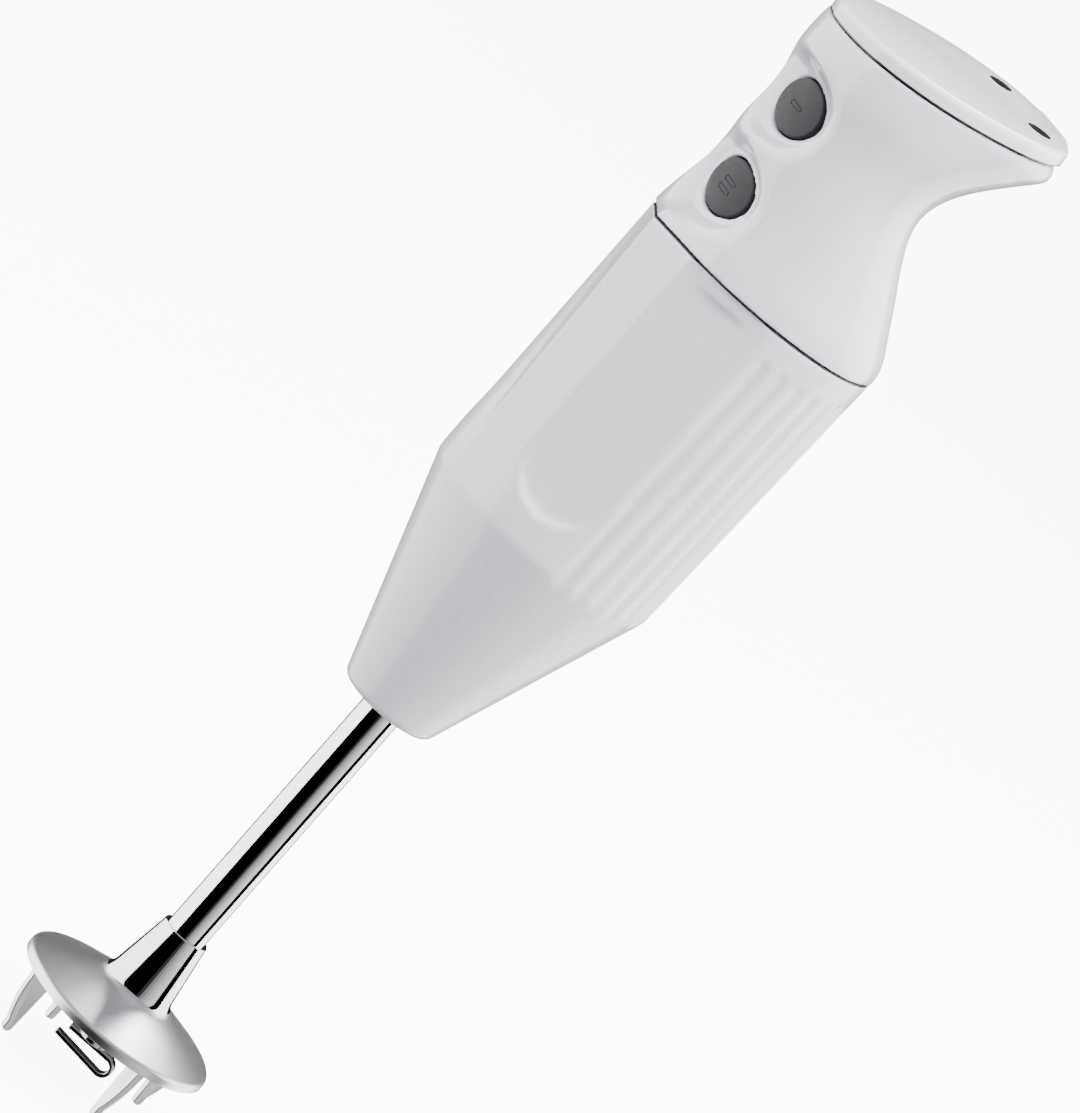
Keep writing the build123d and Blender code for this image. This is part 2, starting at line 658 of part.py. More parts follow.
def above_lid(gap, start=-100.0, end=100.0):
    """Big block above the tilted seam of the lid, between two y values."""
    with BuildPart() as block:
        with BuildSketch(lid_plane.offset(gap)):
            with Locations((0, (start + end) / 2)):
                Rectangle(200, end - start)
        extrude(amount=60)
    return block


outer_form = handle_form(0.0)
inner_form = handle_form(HANDLE_WALL)
middle_form = handle_form(HANDLE_WALL / 2)


def dishes(extra):
    """The two finger dishes as one cutter, grown by extra."""
    with BuildPart() as cutter:
        for height in BUTTON_HEIGHTS.values():
            with BuildPart(mode=Mode.PRIVATE) as ball:
                Sphere(1.0)
            bowl = scale(ball.part, by=(DISH_WIDTH + extra, DISH_DEPTH + extra, DISH_HEIGHT + extra))
            add(bowl.moved(Location((0, DISH_CENTRE_Y, height))))
    return cutter


dish_cut = dishes(0.0)
dish_wall = dishes(HANDLE_WALL)
inlet_z = SEAM_Z + INLET_HEIGHT
lid_screw_z = LID_Z + LID_SCREW_Y * sin(radians(LID_TILT)) - LID_BOSS_DROP + 2.2
lid_screw_spots = [(-LID_SCREW_X, LID_SCREW_Y, lid_screw_z), (LID_SCREW_X, LID_SCREW_Y, lid_screw_z)]
inlet_plane = Plane(origin=(0, INLET_FRONT_Y, inlet_z), x_dir=(1, 0, 0), z_dir=(0, 1, 0))

with BuildPart() as dish_backs:
    add(dish_wall.part)
    add(middle_form.part, mode=Mode.INTERSECT)

with BuildPart() as handle_housing:
    add(outer_form.part)
    with BuildSketch(Plane.XY.offset(SEAM_Z)):
        Polygon(*keel(SEAM_RADIUS, SEAM_SHIFT, KEEL_ANGLE), align=None)
    with BuildSketch(Plane.XY.offset(SEAM_Z + BUTTON_RISE)):
        Polygon(*keel(SEAM_RADIUS - 4.0, SEAM_SHIFT, KEEL_START_ANGLE), align=None)
    loft()
    add(inner_form.part, mode=Mode.SUBTRACT)
    add(dish_backs.part)
    add(dish_cut.part, mode=Mode.SUBTRACT)
    with BuildPart(mode=Mode.PRIVATE) as fittings:
        with BuildSketch(Plane.XY.offset(SEAM_Z + 9.0)):
            with Locations((-CARRIER_HALF_WIDTH - 8.0, -1.0), (CARRIER_HALF_WIDTH + 8.0, -1.0)):
                Rectangle(18.0, 13.0)
        extrude(amount=COMB_HEIGHT)
        with BuildSketch(Plane.XY.offset(LID_Z - 22.0)):
            with Locations((-LID_SCREW_X, LID_SCREW_Y), (LID_SCREW_X, LID_SCREW_Y)):
                Circle(LID_BOSS_RADIUS)
        extrude(amount=26.0)
        with BuildSketch(inlet_plane):
            Circle(INLET_BUSH_RADIUS + INLET_BOSS_WALL)
        extrude(amount=30.0)
        with BuildSketch(Plane.XY.offset(SEAM_Z + 0.1)):
            with Locations(*[(x, y) for x, y, z in housing_screw_spots]):
                Circle(HOUSING_BOSS_RADIUS)
        extrude(amount=HOUSING_BOSS_HEIGHT)
        add(middle_form.part, mode=Mode.INTERSECT)
        add(above_lid(-LID_BOSS_DROP, LID_SCREW_Y - 5.5, LID_SCREW_Y + 4.6).part, mode=Mode.SUBTRACT)
    add(fittings.part)
    add(above_lid(-LID_SEAM).part, mode=Mode.SUBTRACT)
    for y in (SWITCH_FRONT_Y + SWITCH_DEPTH, BOARD_Y):
        with BuildSketch(Plane.XY.offset(SEAM_Z + 9.0)):
            with Locations((0, y + CARRIER_THICKNESS / 2)):
                Rectangle(2 * CARRIER_HALF_WIDTH + 2 * PLAY, CARRIER_THICKNESS + 2 * RUNNING)
        extrude(amount=COMB_HEIGHT, mode=Mode.SUBTRACT)
    for height in BUTTON_HEIGHTS.values():
        with BuildSketch(Plane(origin=(0, -60, height), x_dir=(1, 0, 0), z_dir=(0, 1, 0))):
            Ellipse(BUTTON_HALF_WIDTH + BUTTON_GAP, BUTTON_HALF_HEIGHT + BUTTON_GAP)
        extrude(amount=46, mode=Mode.SUBTRACT)
    with BuildSketch(inlet_plane):
        Circle(INLET_BUSH_RADIUS)
    extrude(amount=30.0, mode=Mode.SUBTRACT)
    for x, y, z in housing_screw_spots:
        with Locations((x, y, SEAM_Z)):
            Cylinder(SCREW_RADIUS + PLAY, 4 * HOUSING_BOSS_HEIGHT, mode=Mode.SUBTRACT)
    for x, y, z in lid_screw_spots:
        with Locations((x, y, z)):
            Cylinder(SCREW_RADIUS, 2 * LID_SCREW_LENGTH + 1.0, mode=Mode.SUBTRACT)
save(handle_housing, "handle_housing")
save(screws(housing_screw_spots, HOUSING_BOSS_HEIGHT + 10.0), "housing_screws")

lid_layers = [(LID_SEAM, 0.0)]
for step in range(5):
    turn = radians(90 * step / 4)
    lid_layers.append((LID_THICKNESS - LID_ROUND * (1 - sin(turn)), LID_ROUND * (1 - cos(turn))))
with BuildPart() as top_lid:
    for level, inset in lid_layers:
        share, half_width, front, back = HANDLE_STATIONS[-2]
        with BuildSketch(lid_plane.offset(level)):
            with BuildLine():
                right = Spline(*section(half_width, front, back, inset, share), tangents=((1, 0), (-1, 0)))
                mirror(right, about=Plane.YZ)
            make_face()
    loft(ruled=True)
    with BuildPart(mode=Mode.PRIVATE) as lid_hollow:
        add(inner_form.part)
        add(above_lid(LID_THICKNESS - HANDLE_WALL).part, mode=Mode.SUBTRACT)
    add(lid_hollow.part, mode=Mode.SUBTRACT)
    with BuildPart(mode=Mode.PRIVATE) as lid_bosses:
        with BuildSketch(Plane.XY.offset(LID_Z - LID_BOSS_DROP * 3)):
            with Locations((-LID_SCREW_X, LID_SCREW_Y), (LID_SCREW_X, LID_SCREW_Y)):
                Circle(LID_BOSS_RADIUS)
        extrude(amount=LID_BOSS_DROP * 6)
        add(above_lid(LID_THICKNESS - HANDLE_WALL / 2).part, mode=Mode.SUBTRACT)
        with BuildSketch(lid_plane.offset(-LID_BOSS_DROP)):
            Rectangle(200, 200)
        extrude(amount=-60, mode=Mode.SUBTRACT)
        add(inner_form.part, mode=Mode.INTERSECT)
    add(lid_bosses.part)
    for x, y, z in lid_screw_spots:
        with BuildSketch(Plane.XY.offset(z)):
            with Locations((x, y)):
                Circle(SCREW_HEAD_RADIUS + 0.6)
        extrude(amount=30.0, mode=Mode.SUBTRACT)
        with Locations((x, y, z)):
            Cylinder(SCREW_RADIUS + PLAY, 4 * LID_BOSS_DROP, mode=Mode.SUBTRACT)
save(top_lid, "top_lid")
save(screws(lid_screw_spots, LID_SCREW_LENGTH), "lid_screws")

with BuildPart() as cord_inlet_bush:
    with BuildSketch(inlet_plane):
        Circle(INLET_BUSH_RADIUS)
        Circle(INLET_BORE_RADIUS, mode=Mode.SUBTRACT)
    extrude(amount=HANDLE_STATIONS[-2][3] + INLET_PROUD - INLET_FRONT_Y)
    fillet(cord_inlet_bush.faces().sort_by(Axis.Y)[-1].edges(), 0.35)
save(cord_inlet_bush, "cord_inlet_bush")

# ================================ buttons and switches ================================
button_back = BUTTON_FACE_Y + BUTTON_DEPTH
for name, bars in (("low", 2), ("high", 1)):
    height = BUTTON_HEIGHTS[name]
    face = Plane(origin=(0, BUTTON_FACE_Y, height), x_dir=(1, 0, 0), z_dir=(0, 1, 0))
    with BuildPart() as button:
        with BuildSketch(face.offset(-1.0)):
            Ellipse(BUTTON_HALF_WIDTH, BUTTON_HALF_HEIGHT)
        extrude(amount=BUTTON_DEPTH + 1.0)
        with Locations((0, BUTTON_FACE_Y + BUTTON_DOME, height)):
            Sphere(BUTTON_DOME, mode=Mode.INTERSECT)
        fillet(button.faces().sort_by(Axis.Y)[0].edges(), 0.6)
        with BuildSketch(face.offset(BUTTON_DEPTH)):
            Ellipse(BUTTON_HALF_WIDTH + BUTTON_FLANGE, BUTTON_HALF_HEIGHT + BUTTON_FLANGE)
        extrude(amount=-BUTTON_FLANGE_THICKNESS)
        with BuildSketch(face.offset(BUTTON_DEPTH)):
            Circle(PLUNGER_RADIUS)
        extrude(amount=PLUNGER_LENGTH)
        with BuildSketch(face.offset(-1.0)):
            with GridLocations(0, MARK_SPACING, 1, bars):
                SlotOverall(MARK_LENGTH, MARK_WIDTH)
                SlotOverall(MARK_LENGTH - 2 * MARK_LINE, MARK_WIDTH - 2 * MARK_LINE, mode=Mode.SUBTRACT)
        extrude(amount=1.0 + MARK_LINE, mode=Mode.SUBTRACT)
    save(button, f"button_{name}")
    with BuildPart() as switch_block:
        front = Plane(origin=(0, SWITCH_FRONT_Y, height), x_dir=(1, 0, 0), z_dir=(0, 1, 0))
        with BuildSketch(front):
            RectangleRounded(SWITCH_WIDTH, SWITCH_HEIGHT, 0.8)
            Circle(PLUNGER_RADIUS + RUNNING, mode=Mode.SUBTRACT)
        extrude(amount=SWITCH_BORE)
        with BuildSketch(front.offset(SWITCH_BORE)):
            RectangleRounded(SWITCH_WIDTH, SWITCH_HEIGHT, 0.8)
        extrude(amount=SWITCH_DEPTH - SWITCH_BORE)
    save(switch_block, f"switch_block_{name}")

plate_z = SEAM_Z + 9.0 + COMB_HEIGHT / 2
with BuildPart() as switch_carrier:
    with BuildSketch(Plane(origin=(0, SWITCH_FRONT_Y + SWITCH_DEPTH, plate_z), x_dir=(1, 0, 0), z_dir=(0, 1, 0))):
        RectangleRounded(2 * CARRIER_HALF_WIDTH, COMB_HEIGHT, 1.2)
    extrude(amount=CARRIER_THICKNESS)
save(switch_carrier, "switch_carrier")

with BuildPart() as speed_board:
    with BuildSketch(Plane(origin=(0, BOARD_Y, plate_z), x_dir=(1, 0, 0), z_dir=(0, 1, 0))):
        RectangleRounded(2 * CARRIER_HALF_WIDTH, COMB_HEIGHT, 1.2)
    extrude(amount=CARRIER_THICKNESS)
    behind = Plane(origin=(0, BOARD_Y + CARRIER_THICKNESS, plate_z), x_dir=(1, 0, 0), z_dir=(0, 1, 0))
    with BuildSketch(behind):
        with Locations((-8.0, -12.0), (8.0, -12.0)):
            Rectangle(7.0, 5.0)
    extrude(amount=4.0)
save(speed_board, "speed_board")

with BuildPart() as capacitor:
    with BuildSketch(behind):
        RectangleRounded(16.0, 9.0, 1.0)
    extrude(amount=7.0)
save(capacitor, "suppression_capacitor")

with BuildPart() as terminal_block:
    with BuildSketch(behind):
        with Locations((0, COMB_HEIGHT / 2 - 5.0)):
            Rectangle(14.0, 7.0)
    extrude(amount=7.0)
    with BuildSketch(behind.offset(7.0)):
        with Locations((-3.5, COMB_HEIGHT / 2 - 5.0), (3.5, COMB_HEIGHT / 2 - 5.0)):
            Circle(1.6)
    extrude(amount=-3.0, mode=Mode.SUBTRACT)
save(terminal_block, "terminal_block")

# ================================ motor ================================
post_base = LOWER_BRIDGE_Z + BRIDGE_THICKNESS
shaft_top = UPPER_BRIDGE_Z + BRIDGE_THICKNESS + 3.0
with BuildPart() as motor_shaft:
    with BuildSketch(Plane.XY.offset(coupling_mid)):
        Circle(MOTOR_SHAFT_RADIUS)
    extrude(amount=shaft_top - coupling_mid)
    chamfer(motor_shaft.faces().sort_by(Axis.Z)[-1].edges(), 0.4)
save(motor_shaft, "motor_shaft")

rotor_radius = CORE_BORE - AIR_GAP
slot_depth = rotor_radius * 0.36
slot_width = rotor_radius * 0.15
with BuildPart() as rotor_core:
    with BuildSketch(Plane.XY.offset(STACK_Z)):
        Circle(rotor_radius)
        Circle(MOTOR_SHAFT_RADIUS, mode=Mode.SUBTRACT)
        with PolarLocations(rotor_radius - slot_depth / 2 + 0.01, ROTOR_SLOTS):
            Rectangle(slot_depth, slot_width, mode=Mode.SUBTRACT)
    extrude(amount=STACK_HEIGHT)
save(rotor_core, "rotor_core")

with BuildPart() as rotor_windings:
    with BuildSketch(Plane.XY.offset(STACK_Z)):
        with PolarLocations(rotor_radius - slot_depth / 2 - 0.4, ROTOR_SLOTS):
            Rectangle(slot_depth - 1.0, slot_width)
    extrude(amount=STACK_HEIGHT)
    for base, amount in ((STACK_Z, -WINDING_OVERHANG), (STACK_TOP, WINDING_OVERHANG)):
        with BuildSketch(Plane.XY.offset(base)):
            Circle(rotor_radius - 1.2)
            Circle(MOTOR_SHAFT_RADIUS, mode=Mode.SUBTRACT)
        extrude(amount=amount)
    ends = rotor_windings.faces().sort_by(Axis.Z)
    fillet([e for f in (ends[0], ends[-1]) for e in f.edges() if e.radius > 8], 2.0)
save(rotor_windings, "rotor_windings")

with BuildPart() as commutator:
    with BuildSketch(Plane.XY.offset(COMMUTATOR_Z)):
        Circle(COMMUTATOR_RADIUS)
        Circle(MOTOR_SHAFT_RADIUS, mode=Mode.SUBTRACT)
        with PolarLocations(COMMUTATOR_RADIUS, COMMUTATOR_BARS):
            Rectangle(1.6, 0.4, mode=Mode.SUBTRACT)
    extrude(amount=COMMUTATOR_LENGTH)
save(commutator, "commutator")

coil_bore = CORE_BORE + 0.5
core_slots = winding_slots(CORE_BORE - 1.0, COIL_RADIUS, radians(COIL_ANGLE))
coil_slots = winding_slots(coil_bore, COIL_RADIUS - PLAY, radians(COIL_ANGLE - 1.0))
with BuildPart() as stator_core:
    with BuildSketch(Plane.XY.offset(STACK_Z)):
        Circle(CORE_RADIUS)
        Circle(CORE_BORE, mode=Mode.SUBTRACT)
        with Locations((0, -MOTOR_SCREW_Y), (0, MOTOR_SCREW_Y)):
            Circle(SCREW_RADIUS + PLAY, mode=Mode.SUBTRACT)
        add(core_slots, mode=Mode.SUBTRACT)
    extrude(amount=STACK_HEIGHT)
save(stator_core, "stator_core")

with BuildPart() as stator_coils:
    with BuildSketch(Plane.XY.offset(STACK_Z - COIL_OVERHANG)):
        Circle(COIL_RADIUS - PLAY)
        Circle(coil_bore, mode=Mode.SUBTRACT)
    extrude(amount=COIL_OVERHANG)
    with BuildSketch(Plane.XY.offset(STACK_Z)):
        add(coil_slots)
    extrude(amount=STACK_HEIGHT)
    with BuildSketch(Plane.XY.offset(STACK_TOP)):
        Circle(COIL_RADIUS - PLAY)
        Circle(coil_bore, mode=Mode.SUBTRACT)
    extrude(amount=COIL_OVERHANG)
save(stator_coils, "stator_coils")

lower_bearing_z = LOWER_BRIDGE_Z - 2.0
upper_bearing_z = UPPER_BRIDGE_Z
for node, bottom in (("lower_bearing", lower_bearing_z), ("upper_bearing", upper_bearing_z)):
    with BuildPart() as bearing:
        with BuildSketch(Plane.XY.offset(bottom)):
            Circle(BEARING_RADIUS)
            Circle(MOTOR_SHAFT_RADIUS + RUNNING, mode=Mode.SUBTRACT)
        extrude(amount=BEARING_WIDTH)
        for top in (bottom, bottom + BEARING_WIDTH):
            with BuildSketch(Plane.XY.offset(top)):
                Circle(BEARING_RADIUS - 1.6)
                Circle(MOTOR_SHAFT_RADIUS + 1.6, mode=Mode.SUBTRACT)
            extrude(amount=0.4, both=True, mode=Mode.SUBTRACT)
    save(bearing, node)


def bridge(bar_z, cup_z, post_z, post_height, tap):
    """Motor bridge: a bar across Y with a bearing cup in the middle and a post to the stack."""
    with BuildPart() as piece:
        with BuildSketch(Plane.XY.offset(bar_z)):
            SlotOverall(2 * MOTOR_SCREW_Y + 2 * POST_RADIUS, 2 * POST_RADIUS, rotation=90)
            Rectangle(2 * BRIDGE_HALF_WIDTH, 2 * (BEARING_RADIUS + 6.0))
        extrude(amount=BRIDGE_THICKNESS)
        with BuildSketch(Plane.XY.offset(cup_z)):
            Circle(BEARING_RADIUS + BEARING_WALL)
        extrude(amount=BEARING_WIDTH)
        with BuildSketch(Plane.XY.offset(post_z)):
            with Locations((0, -MOTOR_SCREW_Y), (0, MOTOR_SCREW_Y)):
                Circle(POST_RADIUS)
        extrude(amount=post_height)
        with Locations((0, 0, cup_z + BEARING_WIDTH / 2)):
            Cylinder(BEARING_RADIUS, 4 * BEARING_WIDTH, mode=Mode.SUBTRACT)
        with Locations((0, -MOTOR_SCREW_Y, bar_z), (0, MOTOR_SCREW_Y, bar_z)):
            Cylinder(tap, 4 * STACK_HEIGHT, mode=Mode.SUBTRACT)
    return piece


save(
    bridge(LOWER_BRIDGE_Z, lower_bearing_z, post_base, STACK_Z - post_base, SCREW_RADIUS),
    "lower_bridge",
)
save(
    bridge(UPPER_BRIDGE_Z, upper_bearing_z, STACK_TOP, UPPER_BRIDGE_Z - STACK_TOP, SCREW_RADIUS + PLAY),
    "upper_bridge",
)
bridge_top = UPPER_BRIDGE_Z + BRIDGE_THICKNESS
save(
    screws(
        [(0, -MOTOR_SCREW_Y, bridge_top), (0, MOTOR_SCREW_Y, bridge_top)],
        bridge_top - LOWER_BRIDGE_Z,
    ),
    "motor_screws",
)

brush_z = COMMUTATOR_Z + COMMUTATOR_LENGTH / 2
brush_start = COMMUTATOR_RADIUS + RUNNING
holder_wall = 1.2
holder_start = brush_start + 2.0
holder_end = brush_start + BRUSH_LENGTH + 5.0
with BuildPart() as brush_holders:
    for side in (-1, 1):
        middle = side * (holder_start + holder_end) / 2
        with BuildSketch(Plane.XY.offset(brush_z - BRUSH_HEIGHT / 2 - holder_wall)):
            with Locations((middle, 0)):
                Rectangle(holder_end - holder_start, BRUSH_WIDTH + 2 * holder_wall)
        extrude(amount=UPPER_BRIDGE_Z - brush_z + BRUSH_HEIGHT / 2 + holder_wall)
    for side in (-1, 1):
        with Locations((side * (holder_start + holder_end - 2 * holder_wall) / 2, 0, brush_z)):
            Box(
                holder_end - holder_start,
                BRUSH_WIDTH + 2 * RUNNING,
                BRUSH_HEIGHT + 2 * RUNNING,
                mode=Mode.SUBTRACT,
            )
save(brush_holders, "brush_holders")

with BuildPart() as carbon_brushes:
    for side in (-1, 1):
        with Locations((side * (brush_start + BRUSH_LENGTH / 2), 0, brush_z)):
            Box(BRUSH_LENGTH, BRUSH_WIDTH, BRUSH_HEIGHT)
    with Locations((0, 0, brush_z)):
        Cylinder(brush_start, 2 * BRUSH_HEIGHT, mode=Mode.SUBTRACT)
save(carbon_brushes, "carbon_brushes")
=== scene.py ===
"""Immersion blender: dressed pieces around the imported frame, in metres, +Z up the wand's axis."""

import json
import logging
import math
from dataclasses import dataclass, field
from enum import Enum

import bmesh
import bpy
from mathutils import Matrix, Vector
from mathutils.bvhtree import BVHTree


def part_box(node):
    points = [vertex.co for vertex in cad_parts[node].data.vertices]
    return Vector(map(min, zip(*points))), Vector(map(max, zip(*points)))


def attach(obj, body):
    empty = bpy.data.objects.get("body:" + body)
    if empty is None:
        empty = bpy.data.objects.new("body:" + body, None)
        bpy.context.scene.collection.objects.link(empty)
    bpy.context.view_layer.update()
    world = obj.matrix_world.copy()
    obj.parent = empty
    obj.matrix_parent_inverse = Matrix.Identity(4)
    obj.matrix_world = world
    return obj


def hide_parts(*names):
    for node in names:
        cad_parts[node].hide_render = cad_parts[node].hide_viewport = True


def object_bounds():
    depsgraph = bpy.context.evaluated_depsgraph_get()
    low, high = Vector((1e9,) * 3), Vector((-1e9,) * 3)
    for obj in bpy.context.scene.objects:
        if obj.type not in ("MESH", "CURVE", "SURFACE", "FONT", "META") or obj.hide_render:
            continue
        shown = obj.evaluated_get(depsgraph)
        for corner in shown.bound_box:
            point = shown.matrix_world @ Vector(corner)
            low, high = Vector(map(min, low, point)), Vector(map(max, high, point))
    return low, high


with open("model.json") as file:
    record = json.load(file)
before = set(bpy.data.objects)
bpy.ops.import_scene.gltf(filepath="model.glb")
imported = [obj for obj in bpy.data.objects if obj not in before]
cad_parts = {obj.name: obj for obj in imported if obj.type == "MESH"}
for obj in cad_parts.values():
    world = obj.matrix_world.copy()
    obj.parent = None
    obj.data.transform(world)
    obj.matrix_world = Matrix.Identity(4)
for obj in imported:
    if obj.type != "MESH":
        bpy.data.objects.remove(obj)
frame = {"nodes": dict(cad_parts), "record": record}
CAD_BOX = [list(map(float, corner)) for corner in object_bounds()]

log = logging.getLogger("immersion_blender")
logging.basicConfig(level=logging.INFO, format="%(message)s")

MM = 0.001


GRAIN_DEPTH = 0.1 * MM
COAT_ROUGHNESS = 0.04
CLOUD_SCALE = 28.0
SPECK_SCALE = 420.0
SATIN_GAIN = 0.26
MERGE = 1e-6
BRUSHED_FROM = 10.2 * MM
LID_TILT = math.radians(6.3)
# The lid's screw recesses, whose insides get painted shade.
LID_SCREW = (13.0 * MM, 24.0 * MM)
RECESS_RADIUS = 3.35 * MM


class Tone(Enum):
    """How bright a mirror panel is."""

    BLACK = 0.0
    ASH = 0.03
    GREY = 0.5
    WHITE = 5.0
    GLOW = 16.0


@dataclass(frozen=True)
class Finish:
    """One finish: its colour, gloss and the size of its surface detail.

    A seam is a level, a slope along y and a half width, along which shade is painted as a dark line. A well is
    the x, y and radius of a recess whose inside is painted dark as shade.
    """

    name: str
    colour: tuple[float, float, float]
    roughness: float
    metallic: float = 0.0
    coat: float = 0.0
    grain_scale: float = 900.0
    relief: float = 0.02
    mottle: float = 0.04
    ior: float = 1.5
    stretch: tuple[float, float, float] = (1.0, 1.0, 1.0)
    seam_shade: tuple[tuple[float, float, float], ...] = ()
    well_shade: tuple[tuple[float, float, float], ...] = ()
    satin_beyond: float = 0.0


class GroupLibrary:
    """Shader node groups that several finishes share."""

    def __init__(self) -> None:
        """Makes the two groups once."""
        self.mottle = self._mottle()
        self.relief = self._relief()

    @staticmethod
    def _socket(tree: bpy.types.NodeTree, name: str, kind: str, into: bool, value: object = None) -> None:
        """Adds one named socket to a group.

        Args:
            tree: the group.
            name: the socket's name.
            kind: its socket type.
            into: True for an input.
            value: its default, if it has one.
        """
        direction = "INPUT" if into else "OUTPUT"
        made = tree.interface.new_socket(name=name, in_out=direction, socket_type=kind)
        if value is not None:
            made.default_value = value

    def _mottle(self) -> bpy.types.NodeTree:
        """Builds the faint unevenness of colour and gloss.

        Returns:
            The group, with a colour and a roughness output.
        """
        tree = bpy.data.node_groups.new("mottled_surface", "ShaderNodeTree")
        self._socket(tree, "Vector", "NodeSocketVector", True)
        self._socket(tree, "Colour", "NodeSocketColor", True, (0.8, 0.8, 0.8, 1.0))
        self._socket(tree, "Shade", "NodeSocketColor", True, (0.7, 0.7, 0.7, 1.0))
        self._socket(tree, "Roughness Low", "NodeSocketFloat", True, 0.2)
        self._socket(tree, "Roughness High", "NodeSocketFloat", True, 0.3)
        self._socket(tree, "Colour", "NodeSocketColor", False)
        self._socket(tree, "Roughness", "NodeSocketFloat", False)
        nodes, links = tree.nodes, tree.links
        source, sink = nodes.new("NodeGroupInput"), nodes.new("NodeGroupOutput")
        cloud = nodes.new("ShaderNodeTexNoise")
        cloud.inputs["Scale"].default_value = CLOUD_SCALE
        cloud.inputs["Detail"].default_value = 4.0
        fine = nodes.new("ShaderNodeTexNoise")
        fine.inputs["Scale"].default_value = SPECK_SCALE
        fine.inputs["Detail"].default_value = 3.0
        mix = nodes.new("ShaderNodeMix")
        mix.data_type = "RGBA"
        span = nodes.new("ShaderNodeMapRange")
        links.new(source.outputs["Vector"], cloud.inputs["Vector"])
        links.new(source.outputs["Vector"], fine.inputs["Vector"])
        links.new(cloud.outputs["Fac"], mix.inputs["Factor"])
        links.new(source.outputs["Colour"], mix.inputs["A"])
        links.new(source.outputs["Shade"], mix.inputs["B"])
        links.new(fine.outputs["Fac"], span.inputs["Value"])
        links.new(source.outputs["Roughness Low"], span.inputs["To Min"])
        links.new(source.outputs["Roughness High"], span.inputs["To Max"])
        links.new(mix.outputs["Result"], sink.inputs["Colour"])
        links.new(span.outputs["Result"], sink.inputs["Roughness"])
        return tree

    def _relief(self) -> bpy.types.NodeTree:
        """Builds the fine relief of a moulded or ground surface.

        Returns:
            The group, with a height output.
        """
        tree = bpy.data.node_groups.new("fine_relief", "ShaderNodeTree")
        self._socket(tree, "Vector", "NodeSocketVector", True)
        self._socket(tree, "Scale", "NodeSocketFloat", True, 900.0)
        self._socket(tree, "Height", "NodeSocketFloat", False)
        nodes, links = tree.nodes, tree.links
        source, sink = nodes.new("NodeGroupInput"), nodes.new("NodeGroupOutput")
        grain = nodes.new("ShaderNodeTexNoise")
        grain.inputs["Detail"].default_value = 3.0
        grain.inputs["Roughness"].default_value = 0.6
        links.new(source.outputs["Vector"], grain.inputs["Vector"])
        links.new(source.outputs["Scale"], grain.inputs["Scale"])
        links.new(grain.outputs["Fac"], sink.inputs["Height"])
        return tree


